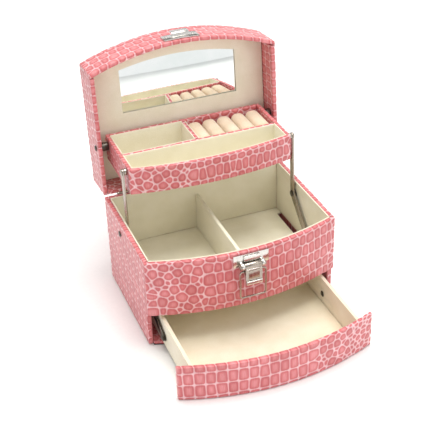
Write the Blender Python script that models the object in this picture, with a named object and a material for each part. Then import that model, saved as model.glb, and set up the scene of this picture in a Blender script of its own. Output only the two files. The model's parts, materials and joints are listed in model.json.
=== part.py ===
"""Three-layer jewelry box, modelled with its lid open.

Raising the lid lifts a tray out of the case and slides a drawer from under it.
The frame is the case's own: X runs along the width, the bowed front faces -Y and
+Z is up, with the origin on the table under the centre of the case's sides.
The lid, the tray, the linkage and the drawer are drawn as they lie when the box is
shut, and parent empties on the joint axes then carry them to the open position.
"""
import math

import bmesh
import bpy
from mathutils import Matrix, Vector

MM = 0.001

# Case
WIDTH = 175.0 * MM             # outside, side to side
SIDE_DEPTH = 116.0 * MM        # outside, at the side walls, without the bow
BOW = 17.3 * MM                # how far the middle of the front stands forward
CASE_HEIGHT = 88.0 * MM        # table to the case's rim
BOARD = 4.0 * MM               # wall boards of the case and the lid
FRONT_BOARD = 4.0 * MM         # bowed boards of the case, lid and drawer fronts
BASE_SHEET = 0.5 * MM
BOTTOM_BOARD = 3.0 * MM
FLOOR_BOARD = 2.2 * MM
FLOOR_TOP = 35.5 * MM          # height of the main compartments' floor
PANEL_LAP = 1.3 * MM           # how far the fixed front panel reaches below the floor's top
LINING = 0.6 * MM
LINING_DROP = 0.6 * MM         # how far the lining stops below the rim
DIVIDER_BOARD = 3.4 * MM
DIVIDER_DROP = 15.5 * MM       # divider's top below the rim
SLOT_ROOM = 2.0 * MM           # room round the arms in the floor's notches

# Lid
LID_HEIGHT = 36.2 * MM
LID_TOP_BOARD = 3.5 * MM
LID_OPEN_DEG = 94.7
LINER_DEPTH = 22.0 * MM        # rim to the liner panel
LINER_BOARD = 1.0 * MM
MIRROR_SIDE_BORDER = 27.7 * MM # liner panel on each side of the mirror's opening
MIRROR_FRONT_BORDER = 8.5 * MM # from the lid's side front to where the arch begins
MIRROR_DEPTH = 41.0 * MM       # of the opening's straight sides
MIRROR_ARCH = 6.6 * MM
MIRROR_LAP = 3.0 * MM          # glass hidden behind the liner panel
MIRROR_GLASS = 2.0 * MM

# Tray
TRAY_SIDE_ROOM = 3.0 * MM      # tray's side to the arm beside it
TRAY_FRONT_ROOM = 5.5 * MM     # tray's side front to the lid's front wall, lid shut
TRAY_BACK_ROOM = 30.9 * MM     # tray's back to the back wall, lid shut
TRAY_BOW = 9.4 * MM
TRAY_HEIGHT = 24.5 * MM
TRAY_BOARD = 3.5 * MM
TRAY_BOTTOM_BOARD = 2.0 * MM
TRAY_ABOVE_RIM = 15.9 * MM     # top of the tray over the case's rim, lid shut
TRAY_DIVIDER = 3.0 * MM
TRAY_DIVIDER_DROP = 0.8 * MM
LONG_DIVIDER_BACK = 42.2 * MM  # from the back of the tray to its middle
SHORT_DIVIDER_X = -2.0 * MM
RING_ROLLS = 5
ROLL_DROP = 1.5 * MM
ROLL_GAP = 0.6 * MM

# Drawer
DRAWER_TRAVEL = 71.2 * MM
DRAWER_FACE_BOTTOM = 0.4 * MM
DRAWER_FACE_GAP = 0.5 * MM     # face to the front panel above it
DRAWER_SIDE_BOARD = 3.0 * MM
DRAWER_TOP_ROOM = 3.3 * MM     # drawer's sides to the floor above them
DRAWER_BOTTOM_BOARD = 2.0 * MM
DRAWER_BACK_ROOM = 7.0 * MM    # drawer's back to the back wall when shut

# Linkage
WALL_PIVOT_DROP = 12.5 * MM    # arm pivot on the side wall, below the rim
LID_PIVOT_BACK = 9.2 * MM      # tray's rear pivot, from its back
LID_PIVOT_DROP = 7.0 * MM      # and from its top
ARM_PIVOT_FRONT = 6.5 * MM     # tray's front pivot, from the end of its side
ARM_PIVOT_DROP = 4.5 * MM
CRANK_OPEN_DEG = 223.9         # lower arm's direction when open, from +Y towards +Z
DRAWER_PIVOT_FROM_BACK = 41.8 * MM  # link pivot on the drawer, from its back
DRAWER_PIVOT_Z = 15.0 * MM
ARM_WALL_ROOM = 0.9 * MM       # lining to the rivet heads on the arms
ARM_PLATE = 1.5 * MM
ARM_HALF_TOP = 3.0 * MM        # half width of the upper arm
ARM_HALF_LOWER = 3.8 * MM      # half width of the lower arm
LINK_PLATE = 1.2 * MM
LINK_HALF = 3.4 * MM
RIVET_RADIUS = 1.5 * MM
RIVET_HEAD_RADIUS = 3.0 * MM
RIVET_HEAD = 0.8 * MM
HEAD_EDGE = 0.6                # share of a rivet head's radius that its flat face has
COLLAR_RADIUS = 4.0 * MM

# Continuous hinge at the back
HINGE_INSET = 12.5 * MM        # hinge's end to the case's side
HINGE_KNUCKLES = 9             # taken in turn by the case's leaf and the lid's
HINGE_LEAF = 0.7 * MM
HINGE_LEAF_HEIGHT = 11.0 * MM
HINGE_KNUCKLE_RADIUS = 1.5 * MM
HINGE_PIN_RADIUS = 0.6 * MM
HINGE_SET_OUT = 0.6 * MM       # axis behind the back wall's face

# Latch
LATCH_SHEET = 0.8 * MM
LATCH_PLATE_HALF = 15.9 * MM
LATCH_PLATE_DROP = 2.0 * MM    # its top edge below the rim
LATCH_PLATE_HEIGHT = 11.5 * MM
LATCH_KNUCKLE_DROP = 11.5 * MM
LATCH_KNUCKLE_RADIUS = 2.9 * MM
LATCH_KNUCKLE = 2.5 * MM       # length of each knuckle
LATCH_PIN_RADIUS = 1.0 * MM
LEVER_HALF_WIDTH = 7.5 * MM
LEVER_LENGTH = 16.5 * MM       # pivot to the lever's lower end
LEVER_LIP = 2.4 * MM
CHEEK_DEPTH = 3.6 * MM
BAIL_RADIUS = 0.9 * MM
BAIL_HALF_WIDTH = 11.6 * MM    # to the middle of the wire
BAIL_LENGTH = 26.5 * MM
BAIL_PIVOT_DROP = 5.0 * MM     # bail's pivot below the lever's
KEEPER_HALF_WIDTH = 16.5 * MM
KEEPER_FROM_RIM = 2.5 * MM
KEEPER_HEIGHT = 13.5 * MM
HOOK_HALF_WIDTH = 8.0 * MM
HOOK_POCKET = 3.0 * MM
HOOK_HEIGHT = 6.5 * MM

# Clearances
GAP = 0.3 * MM                 # between any two pieces that touch or run together
BOW_STEPS = 24
ROUND_STEPS = 20
ARC_STEPS = 8

HALF = WIDTH / 2
SIDE_FRONT = -SIDE_DEPTH / 2   # outer face of the fronts at the sides
BACK_FACE = SIDE_DEPTH / 2
SIDE_INNER = HALF - BOARD
BOARD_FRONT = SIDE_FRONT + FRONT_BOARD + GAP   # front ends of the side walls
BACK_INNER = BACK_FACE - BOARD
RIM = CASE_HEIGHT
LID_RIM = RIM + GAP
LID_TOP = LID_RIM + LID_HEIGHT
LINING_FACE = SIDE_INNER - GAP - LINING
PANEL_BOTTOM = FLOOR_TOP - PANEL_LAP
HINGE_WIDTH = WIDTH - 2 * HINGE_INSET
HINGE_AXIS = Vector((0.0, BACK_FACE + HINGE_SET_OUT, RIM + GAP / 2))

# Layers of the linkage in the gap beside the tray and the drawer, from the walls in
HEAD_OUT = LINING_FACE - ARM_WALL_ROOM
HEAD_IN = HEAD_OUT - RIVET_HEAD
ARM_OUT = HEAD_IN - GAP
ARM_IN = ARM_OUT - ARM_PLATE
LINK_OUT = ARM_IN - GAP
LINK_IN = LINK_OUT - LINK_PLATE
TRAY_HALF_WIDTH = ARM_IN - TRAY_SIDE_ROOM
DRAWER_HALF_WIDTH = LINK_IN - GAP - RIVET_HEAD - GAP

# Depths with the lid shut
TRAY_BACK_Y = BACK_INNER - TRAY_BACK_ROOM
TRAY_SIDE_FRONT = SIDE_FRONT + FRONT_BOARD + TRAY_FRONT_ROOM
DRAWER_BACK_Y = BACK_INNER - DRAWER_BACK_ROOM
DRAWER_PIVOT_Y = DRAWER_BACK_Y - DRAWER_PIVOT_FROM_BACK
MIRROR_HALF_WIDTH = SIDE_INNER - MIRROR_SIDE_BORDER
MIRROR_FRONT = SIDE_FRONT + MIRROR_FRONT_BORDER
MIRROR_BACK = MIRROR_FRONT + MIRROR_DEPTH

COLORS = {
    "pink_leather": ((0.73, 0.18, 0.20), 0.42, 0.0),
    "beige_lining": ((0.62, 0.54, 0.38), 0.85, 0.0),
    "cream_velvet": ((0.92, 0.80, 0.58), 0.90, 0.0),
    "black_felt": ((0.02, 0.018, 0.018), 0.95, 0.0),
    "nickel": ((0.72, 0.72, 0.70), 0.22, 1.0),
    "dark_steel": ((0.16, 0.14, 0.13), 0.40, 1.0),
    "mirror_glass": ((0.90, 0.92, 0.92), 0.03, 1.0),
    "grey_board": ((0.45, 0.42, 0.38), 0.80, 0.0),
}


# Small helpers -----------------------------------------------------------------

def clear_scene():
    """Remove every object that the scene opens with."""
    for obj in list(bpy.data.objects):
        bpy.data.objects.remove(obj, do_unlink=True)


def finish_material(node_name, finish):
    """Make the node's own Principled material from a named finish."""
    color, roughness, metallic = COLORS[finish]
    material = bpy.data.materials.new(node_name + "_" + finish)
    material.use_nodes = True
    shader = material.node_tree.nodes["Principled BSDF"]
    shader.inputs["Base Color"].default_value = (*color, 1.0)
    shader.inputs["Roughness"].default_value = roughness
    shader.inputs["Metallic"].default_value = metallic
    return material


def add_object(name, bm, finish, parent=None):
    """Turn a bmesh drawn in the shut frame into a named object under its joint."""
    bmesh.ops.recalc_face_normals(bm, faces=bm.faces)
    mesh = bpy.data.meshes.new(name)
    origin = Vector((0.0, 0.0, 0.0))
    if parent is not None:
        origin = Vector(parent["shut_origin"])
    bmesh.ops.translate(bm, verts=bm.verts, vec=-origin)
    bm.to_mesh(mesh)
    bm.free()
    obj = bpy.data.objects.new(name, mesh)
    bpy.context.scene.collection.objects.link(obj)
    mesh.materials.append(finish_material(name, finish))
    obj.parent = parent
    return obj


def add_joint(name, shut_origin, parent=None):
    """Add an empty on a joint's axis; the pieces it carries are parented to it."""
    empty = bpy.data.objects.new(name, None)
    bpy.context.scene.collection.objects.link(empty)
    empty["shut_origin"] = tuple(shut_origin)
    location = Vector(shut_origin)
    if parent is not None:
        location = location - Vector(parent["shut_origin"])
    empty.location = location
    empty.parent = parent
    return empty


def add_box(bm, low, high):
    """Add a box between two corners."""
    low, high = Vector(low), Vector(high)
    size = high - low
    place = Matrix.Translation((low + high) / 2) @ Matrix.Diagonal((*size, 1.0))
    bmesh.ops.create_cube(bm, size=1.0, matrix=place)


def add_prism(bm, outline, axis, start, end):
    """Extrude a flat outline of (a, b) points from start to end along an axis."""
    place = {
        "X": lambda a, b, along: (along, a, b),
        "Y": lambda a, b, along: (a, along, b),
        "Z": lambda a, b, along: (a, b, along),
    }[axis]
    face = bm.faces.new([bm.verts.new(place(a, b, start)) for a, b in outline])
    pulled = bmesh.ops.extrude_face_region(bm, geom=[face])["geom"]
    moved = [item for item in pulled if isinstance(item, bmesh.types.BMVert)]
    step = Vector(place(0.0, 0.0, end)) - Vector(place(0.0, 0.0, start))
    bmesh.ops.translate(bm, verts=moved, vec=step)


def add_turned(bm, profile, center, side):
    """Turn (x, radius) steps about an axis along X; side is +1 right or -1 left."""
    rings = []
    for along, radius in profile:
        ring = []
        for step in range(ROUND_STEPS):
            angle = 2 * math.pi * step / ROUND_STEPS
            y = center[0] + radius * math.cos(angle)
            z = center[1] + radius * math.sin(angle)
            ring.append(bm.verts.new((side * along, y, z)))
        rings.append(ring)
    for ring, following in zip(rings, rings[1:]):
        for step in range(ROUND_STEPS):
            after = (step + 1) % ROUND_STEPS
            bm.faces.new((ring[step], ring[after], following[after], following[step]))
    bm.faces.new(rings[0])
    bm.faces.new(rings[-1])


def arc(center, radius, start, end, steps=ARC_STEPS):
    """Give points on an arc between two angles in radians."""
    points = []
    for step in range(steps + 1):
        angle = start + (end - start) * step / steps
        points.append((center[0] + radius * math.cos(angle), center[1] + radius * math.sin(angle)))
    return points


def combine(obj, name, operation, build):
    """Cut what build draws out of an object, or join it on, in the shut frame."""
    bm = bmesh.new()
    build(bm)
    tool = add_object(name, bm, "grey_board", obj.parent)
    tool.hide_render = True
    tool.display_type = "WIRE"
    modifier = obj.modifiers.new(name, "BOOLEAN")
    modifier.operation = operation
    modifier.solver = "EXACT"
    modifier.object = tool


def cut(obj, name, build):
    """Cut what build draws out of an object."""
    combine(obj, name, "DIFFERENCE", build)


def cut_hole(obj, name, center, radius, side, start, end):
    """Cut a round hole along X between two distances from the middle plane."""
    cut(obj, name, lambda bm: add_turned(bm, [(start, radius), (end, radius)], center, side))


def box_object(name, low, high, finish, parent=None):
    """Make a node that is a plain board."""
    bm = bmesh.new()
    add_box(bm, low, high)
    return add_object(name, bm, finish, parent)


def prism_object(name, outline, axis, start, end, finish, parent=None):
    """Make a node from an extruded outline."""
    bm = bmesh.new()
    add_prism(bm, outline, axis, start, end)
    return add_object(name, bm, finish, parent)


def turned_object(name, profile, center, side, finish, parent=None):
    """Make a node from a profile turned about an axis along X."""
    bm = bmesh.new()
    add_turned(bm, profile, center, side)
    return add_object(name, bm, finish, parent)


# The bowed front ----------------------------------------------------------------

def front_y(x, inset=0.0):
    """Give the bowed front's outer face at x, or a line that far behind it."""
    return SIDE_FRONT - BOW * (1 - (x / HALF) ** 2) + inset


def tray_front_y(x, inset=0.0):
    """Give the tray's bowed front at x with the lid shut."""
    return TRAY_SIDE_FRONT - TRAY_BOW * (1 - (x / TRAY_HALF_WIDTH) ** 2) + inset


def bow_line(curve, half_width, inset, steps=BOW_STEPS):
    """Give (x, y) points of a bowed line from left to right."""
    points = []
    for step in range(steps + 1):
        x = -half_width + 2 * half_width * step / steps
        points.append((x, curve(x, inset)))
    return points


def bowed_board(name, curve, half_width, inset, thickness, bottom, top, finish, parent=None):
    """Make an upright board that follows a bowed line."""
    outer = bow_line(curve, half_width, inset)
    inner = bow_line(curve, half_width, inset + thickness)
    return prism_object(name, outer + inner[::-1], "Z", bottom, top, finish, parent)


def bowed_floor(name, curve, half_width, inset, back, bottom, top, finish, parent=None):
    """Make a flat board with a bowed front edge and a straight back."""
    outline = bow_line(curve, half_width, inset) + [(half_width, back), (-half_width, back)]
    return prism_object(name, outline, "Z", bottom, top, finish, parent)


# The linkage, solved from the sizes above ----------------------------------------

def turn(point, pivot, degrees):
    """Turn a (y, z) point about a pivot, positive from +Y towards +Z."""
    angle = math.radians(degrees)
    y, z = point[0] - pivot[0], point[1] - pivot[1]
    turned_y = y * math.cos(angle) - z * math.sin(angle)
    turned_z = y * math.sin(angle) + z * math.cos(angle)
    return (pivot[0] + turned_y, pivot[1] + turned_z)


def direction_deg(start, end):
    """Give the direction from one (y, z) point to another, from +Y towards +Z."""
    return math.degrees(math.atan2(end[1] - start[1], end[0] - start[0])) % 360


def distance(start, end):
    """Give the distance between two (y, z) points."""
    return math.hypot(end[0] - start[0], end[1] - start[1])


def solve_linkage():
    """Find every pivot with the box shut and open, from the sizes at the top.

    The tray stays level, so its front pivot moves as its rear pivot does. The wall
    pivot is as far from the front pivot when shut as when open, and the drawer
    pivot is as far from the lower arm's end in both.
    """
    hinge = (HINGE_AXIS.y, HINGE_AXIS.z)
    tray_top = RIM + TRAY_ABOVE_RIM
    rear_shut = (TRAY_BACK_Y - LID_PIVOT_BACK, tray_top - LID_PIVOT_DROP)
    front_shut = (TRAY_SIDE_FRONT + ARM_PIVOT_FRONT, tray_top - ARM_PIVOT_DROP)
    rear_open = turn(rear_shut, hinge, -LID_OPEN_DEG)
    rise = (rear_open[0] - rear_shut[0], rear_open[1] - rear_shut[1])
    front_open = (front_shut[0] + rise[0], front_shut[1] + rise[1])
    squares = (front_open[0] ** 2 + front_open[1] ** 2 - front_shut[0] ** 2 - front_shut[1] ** 2) / 2
    wall_z = RIM - WALL_PIVOT_DROP
    wall = ((squares - wall_z * rise[1]) / rise[0], wall_z)
    swing = direction_deg(wall, front_shut) - direction_deg(wall, front_open)
    crank_shut_deg = CRANK_OPEN_DEG + swing
    drawer_shut = (DRAWER_PIVOT_Y, DRAWER_PIVOT_Z)
    drawer_open = (DRAWER_PIVOT_Y - DRAWER_TRAVEL, DRAWER_PIVOT_Z)
    along = {}
    ends = (("open", CRANK_OPEN_DEG, drawer_open), ("shut", crank_shut_deg, drawer_shut))
    for name, angle, pivot in ends:
        y, z = pivot[0] - wall[0], pivot[1] - wall[1]
        along[name] = y * math.cos(math.radians(angle)) + z * math.sin(math.radians(angle))
    reach_difference = distance(wall, drawer_open) ** 2 - distance(wall, drawer_shut) ** 2
    crank = reach_difference / (2 * (along["open"] - along["shut"]))
    crank_end = turn((wall[0] + crank, wall[1]), wall, crank_shut_deg)
    crank_end_open = turn(crank_end, wall, -swing)
    return {
        "rear": rear_shut, "front": front_shut, "wall": wall, "swing": swing,
        "crank_end": crank_end, "crank_end_open": crank_end_open, "drawer": drawer_shut,
        "link_shut": direction_deg(crank_end, drawer_shut),
        "link_open": direction_deg(crank_end_open, drawer_open),
    }


LINKAGE = solve_linkage()


# Pieces -------------------------------------------------------------------------

def build_case():
    """Build the base, walls, floor, linings and divider of the case."""
    wall_bottom = BASE_SHEET + GAP
    board_top = wall_bottom + BOTTOM_BOARD
    edge = FRONT_BOARD + GAP
    bowed_floor("base_sheet", front_y, HALF - BOARD, edge, BACK_INNER, 0.0, BASE_SHEET, "black_felt")
    bowed_floor("bottom_board", front_y, SIDE_INNER - GAP, edge, BACK_INNER - GAP,
                wall_bottom, board_top, "pink_leather")
    for side, name in ((-1, "left"), (1, "right")):
        low_x, high_x = sorted((side * SIDE_INNER, side * HALF))
        wall = box_object(name + "_wall", (low_x, BOARD_FRONT, wall_bottom),
                          (high_x, BACK_FACE, RIM), "pink_leather")
        cut_hole(wall, name + "_wall_hole", LINKAGE["wall"], RIVET_RADIUS + GAP, side,
                 SIDE_INNER - BOARD, HALF + BOARD)
        low_x, high_x = sorted((side * LINING_FACE, side * (LINING_FACE + LINING)))
        lining = box_object(name + "_lining", (low_x, BOARD_FRONT, FLOOR_TOP + GAP),
                            (high_x, BACK_INNER - GAP, RIM - LINING_DROP), "beige_lining")
        cut_hole(lining, name + "_lining_hole", LINKAGE["wall"], RIVET_RADIUS + GAP, side,
                 LINING_FACE - BOARD, SIDE_INNER)
    back = box_object("back_wall", (-SIDE_INNER + GAP, BACK_INNER, wall_bottom),
                      (SIDE_INNER - GAP, BACK_FACE, RIM), "pink_leather")
    cut(back, "back_wall_notch", add_hinge_notch)
    bowed_board("front_panel", front_y, HALF, 0.0, FRONT_BOARD, PANEL_BOTTOM, RIM, "pink_leather")
    floor = bowed_floor("main_floor", front_y, SIDE_INNER - GAP, edge, BACK_INNER - GAP,
                        FLOOR_TOP - FLOOR_BOARD, FLOOR_TOP, "beige_lining")
    cut(floor, "main_floor_notches", add_floor_notches)
    inside = LINING_FACE - GAP
    box_object("back_lining", (-inside, BACK_INNER - GAP - LINING, FLOOR_TOP + GAP),
               (inside, BACK_INNER - GAP, RIM - LINING_DROP), "beige_lining")
    bowed_board("front_lining", front_y, inside, edge, LINING, FLOOR_TOP + GAP,
                RIM - LINING_DROP, "beige_lining")
    divider_front = front_y(DIVIDER_BOARD / 2, edge + LINING + GAP)
    box_object("divider", (-DIVIDER_BOARD / 2, divider_front, FLOOR_TOP + GAP),
               (DIVIDER_BOARD / 2, BACK_INNER - 2 * GAP - LINING, RIM - DIVIDER_DROP), "beige_lining")


def add_hinge_notch(bm):
    """Draw the notch that lets the hinge's knuckles into the back walls' edges."""
    reach = HINGE_KNUCKLE_RADIUS + GAP
    half_width = HINGE_WIDTH / 2 + 2 * GAP
    add_box(bm, (-half_width, HINGE_AXIS.y - reach, HINGE_AXIS.z - reach),
            (half_width, HINGE_AXIS.y + reach, HINGE_AXIS.z + reach))


def add_floor_notches(bm):
    """Draw the notches in the floor's side edges that the arms swing through."""
    room = ARM_HALF_LOWER + SLOT_ROOM
    front = LINKAGE["crank_end_open"][0] - room
    back = LINKAGE["crank_end"][0] + room
    for side in (-1, 1):
        low_x, high_x = sorted((side * (ARM_IN - 2 * GAP), side * HALF))
        add_box(bm, (low_x, front, FLOOR_TOP - 2 * FLOOR_BOARD),
                (high_x, back, FLOOR_TOP + FLOOR_BOARD))


def build_arm_pivots():
    """Build the rivets that hold the arms to the case's side walls."""
    for side, name in ((-1, "left"), (1, "right")):
        profile = [
            (ARM_IN - GAP - RIVET_HEAD, RIVET_HEAD_RADIUS * HEAD_EDGE),
            (ARM_IN - GAP - RIVET_HEAD / 2, RIVET_HEAD_RADIUS),
            (ARM_IN - GAP, RIVET_HEAD_RADIUS),
            (ARM_IN - GAP, RIVET_RADIUS),
            (HEAD_IN, RIVET_RADIUS),
            (HEAD_IN, COLLAR_RADIUS),
            (LINING_FACE - GAP, COLLAR_RADIUS),
            (LINING_FACE - GAP, RIVET_RADIUS),
            (HALF + GAP, RIVET_RADIUS),
            (HALF + GAP, RIVET_HEAD_RADIUS),
            (HALF + GAP + RIVET_HEAD, RIVET_HEAD_RADIUS * HEAD_EDGE),
        ]
        turned_object(name + "_arm_pivot", profile, LINKAGE["wall"], side, "dark_steel")


def knuckle_outline(up):
    """Give the (y, z) outline of a hinge knuckle and the neck that joins its leaf."""
    axis = (HINGE_AXIS.y, HINGE_AXIS.z)
    neck_in, neck_out = BACK_FACE + GAP, BACK_FACE + GAP + HINGE_LEAF
    start = up * math.acos((neck_in - axis[0]) / HINGE_KNUCKLE_RADIUS)
    end = up * (2 * math.pi + math.acos((neck_out - axis[0]) / HINGE_KNUCKLE_RADIUS))
    neck_end = axis[1] + up * (HINGE_KNUCKLE_RADIUS + 4 * GAP)
    barrel = arc(axis, HINGE_KNUCKLE_RADIUS, start, end, ROUND_STEPS)
    return [(neck_in, neck_end)] + barrel + [(neck_out, neck_end)]


def build_hinge_leaf(name, up, first, parent):
    """Build one leaf with every second knuckle, starting from the first given."""
    face = BACK_FACE + GAP
    near = HINGE_AXIS.z + up * (HINGE_KNUCKLE_RADIUS + 2 * GAP)
    far = HINGE_AXIS.z + up * HINGE_LEAF_HEIGHT
    half = HINGE_WIDTH / 2
    pitch = HINGE_WIDTH / HINGE_KNUCKLES
    leaf = box_object(name, (-half, face, min(near, far)), (half, face + HINGE_LEAF, max(near, far)),
                      "nickel", parent)

    def add_knuckles(bm):
        for number in range(first, HINGE_KNUCKLES, 2):
            start = -half + number * pitch
            add_prism(bm, knuckle_outline(up), "X", start + GAP / 2, start + pitch - GAP / 2)

    combine(leaf, name + "_knuckles", "UNION", add_knuckles)
    axis = (HINGE_AXIS.y, HINGE_AXIS.z)
    cut_hole(leaf, name + "_bore", axis, HINGE_PIN_RADIUS + GAP, 1, -HALF, HALF)


def build_hinge(lid):
    """Build the continuous hinge at the back: a leaf on each side, and its pin."""
    build_hinge_leaf("case_hinge_leaf", -1, 0, None)
    build_hinge_leaf("lid_hinge_leaf", 1, 1, lid)
    end = HINGE_WIDTH / 2 + GAP
    turned_object("hinge_pin", [(-end, HINGE_PIN_RADIUS), (end, HINGE_PIN_RADIUS)],
                  (HINGE_AXIS.y, HINGE_AXIS.z), 1, "nickel")


def build_lid(lid):
    """Build the lid's boards, its liner panel with the mirror, and the mirror's pad."""
    wall_top = LID_TOP - LID_TOP_BOARD - GAP
    for side, name in ((-1, "left"), (1, "right")):
        low_x, high_x = sorted((side * SIDE_INNER, side * HALF))
        wall = box_object("lid_" + name + "_wall", (low_x, BOARD_FRONT, LID_RIM),
                          (high_x, BACK_FACE, wall_top), "pink_leather", lid)
        cut_hole(wall, "lid_" + name + "_wall_hole", LINKAGE["rear"], RIVET_RADIUS + GAP, side,
                 SIDE_INNER - BOARD, HALF + BOARD)
    back = box_object("lid_back_wall", (-SIDE_INNER + GAP, BACK_INNER, LID_RIM),
                      (SIDE_INNER - GAP, BACK_FACE, wall_top), "pink_leather", lid)
    cut(back, "lid_back_wall_notch", add_hinge_notch)
    bowed_board("lid_front_wall", front_y, HALF, 0.0, FRONT_BOARD, LID_RIM, wall_top,
                "pink_leather", lid)
    top_outline = bow_line(front_y, HALF, 0.0) + [(HALF, BACK_FACE), (-HALF, BACK_FACE)]
    prism_object("lid_top_board", top_outline, "Z", LID_TOP - LID_TOP_BOARD, LID_TOP,
                 "pink_leather", lid)
    liner_low = LID_RIM + LINER_DEPTH
    liner_high = liner_low + LINER_BOARD
    liner = bowed_floor("lid_liner_panel", front_y, SIDE_INNER - GAP, FRONT_BOARD + GAP,
                        BACK_INNER - GAP, liner_low, liner_high, "beige_lining", lid)
    cut(liner, "lid_liner_opening",
        lambda bm: add_prism(bm, arched_outline(0.0), "Z", liner_low - BOARD, liner_high + BOARD))
    glass_low = liner_high + GAP
    glass_high = glass_low + MIRROR_GLASS
    prism_object("mirror", arched_outline(MIRROR_LAP), "Z", glass_low, glass_high,
                 "mirror_glass", lid)
    prism_object("mirror_backing", arched_outline(MIRROR_LAP), "Z", glass_high + GAP,
                 LID_TOP - LID_TOP_BOARD - GAP, "grey_board", lid)


def arched_outline(lap):
    """Give the mirror's (x, y) outline: straight back and sides, arched front."""
    half_width = MIRROR_HALF_WIDTH + lap
    outline = [(-half_width, MIRROR_BACK + lap), (half_width, MIRROR_BACK + lap)]
    for step in range(BOW_STEPS + 1):
        x = half_width - 2 * half_width * step / BOW_STEPS
        outline.append((x, MIRROR_FRONT - lap - MIRROR_ARCH * (1 - (x / half_width) ** 2)))
    return outline


def build_keeper(lid):
    """Build the latch's keeper on the lid: a bent plate with a raised hook."""
    bottom = LID_RIM + KEEPER_FROM_RIM
    top = bottom + KEEPER_HEIGHT
    face = -LATCH_SHEET - GAP
    plate = bowed_board("keeper_plate", front_y, KEEPER_HALF_WIDTH, face, LATCH_SHEET,
                        bottom, top, "nickel", lid)
    pocket_z = bail_pivot()[1] + BAIL_LENGTH - BAIL_RADIUS
    back_y = front_y(0.0, face + LATCH_SHEET / 2)
    pocket_y = front_y(0.0, face)
    tongue_y = pocket_y - HOOK_POCKET
    hook = [
        (back_y, pocket_z), (tongue_y, pocket_z), (tongue_y, pocket_z + HOOK_HEIGHT),
        (tongue_y - LATCH_SHEET, pocket_z + HOOK_HEIGHT), (tongue_y - LATCH_SHEET, pocket_z),
        (tongue_y, pocket_z - LATCH_SHEET), (back_y, pocket_z - LATCH_SHEET),
    ]
    combine(plate, "keeper_hook", "UNION",
            lambda bm: add_prism(bm, hook, "X", -HOOK_HALF_WIDTH, HOOK_HALF_WIDTH))


def lever_pivot():
    """Give the (y, z) of the latch lever's pivot."""
    plate_face = front_y(0.0, -GAP - LATCH_SHEET)
    return (plate_face - LATCH_KNUCKLE_RADIUS, RIM - LATCH_KNUCKLE_DROP)


def bail_pivot():
    """Give the (y, z) of the bail's pivot, below the lever's."""
    pivot = lever_pivot()
    return (pivot[0] - GAP, pivot[1] - BAIL_PIVOT_DROP)


def build_latch(lever, bail):
    """Build the draw latch on the front panel: plate, pin, lever and wire bail."""
    pivot = lever_pivot()
    face = -GAP - LATCH_SHEET
    plate_top = RIM - LATCH_PLATE_DROP
    plate = bowed_board("latch_plate", front_y, LATCH_PLATE_HALF, face, LATCH_SHEET,
                        plate_top - LATCH_PLATE_HEIGHT, plate_top, "nickel")
    knuckle_in = LEVER_HALF_WIDTH + GAP
    knuckle_out = knuckle_in + LATCH_KNUCKLE
    back_y = front_y(knuckle_out, -GAP - LATCH_SHEET / 2)
    rounded = arc(pivot, LATCH_KNUCKLE_RADIUS, 3 * math.pi / 2, math.pi / 2, 2 * ARC_STEPS)
    knuckle = [(back_y, pivot[1] - LATCH_KNUCKLE_RADIUS), *rounded,
               (back_y, pivot[1] + LATCH_KNUCKLE_RADIUS)]

    def add_knuckles(bm):
        for side in (-1, 1):
            add_prism(bm, knuckle, "X", *sorted((side * knuckle_in, side * knuckle_out)))

    combine(plate, "latch_knuckles", "UNION", add_knuckles)
    bore = LATCH_PIN_RADIUS + GAP
    cut_hole(plate, "latch_plate_bore", pivot, bore, 1, -HALF, HALF)
    pin = [(-knuckle_out, LATCH_PIN_RADIUS), (knuckle_out, LATCH_PIN_RADIUS)]
    turned_object("latch_pin", pin, pivot, 1, "nickel")
    build_lever(lever, pivot, bore)
    build_bail(bail)


def build_lever(lever, pivot, bore):
    """Build the lever: rolled barrel, flat handle, side cheeks and a turned-out lip."""
    radius = LATCH_KNUCKLE_RADIUS
    outer = pivot[0] - radius
    inner = outer + LATCH_SHEET
    end = pivot[1] - LEVER_LENGTH
    barrel = arc(pivot, radius, math.pi, -math.pi / 2, 2 * ARC_STEPS)
    profile = [
        *barrel, (inner, pivot[1] - radius), (inner, end + LEVER_LIP),
        (inner - LEVER_LIP / 2, end), (outer - LEVER_LIP / 2, end), (outer, end + LEVER_LIP),
    ]
    body = prism_object("latch_lever", profile, "X", -LEVER_HALF_WIDTH, LEVER_HALF_WIDTH,
                        "nickel", lever)
    cheek_top = pivot[1] - radius / 2
    cheek_end = bail_pivot()[1] - CHEEK_DEPTH
    cheek = [(outer + LATCH_SHEET / 2, cheek_top), (outer + LATCH_SHEET / 2, cheek_end),
             (outer + CHEEK_DEPTH, cheek_end + CHEEK_DEPTH / 2), (outer + CHEEK_DEPTH, cheek_top)]

    def add_cheeks(bm):
        for side in (-1, 1):
            ends = sorted((side * LEVER_HALF_WIDTH, side * (LEVER_HALF_WIDTH - LATCH_SHEET)))
            add_prism(bm, cheek, "X", *ends)

    combine(body, "lever_cheeks", "UNION", add_cheeks)
    cut_hole(body, "lever_bore", pivot, bore, 1, -HALF, HALF)
    cut_hole(body, "lever_eyes", bail_pivot(), BAIL_RADIUS + GAP, 1, -HALF, HALF)


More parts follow.
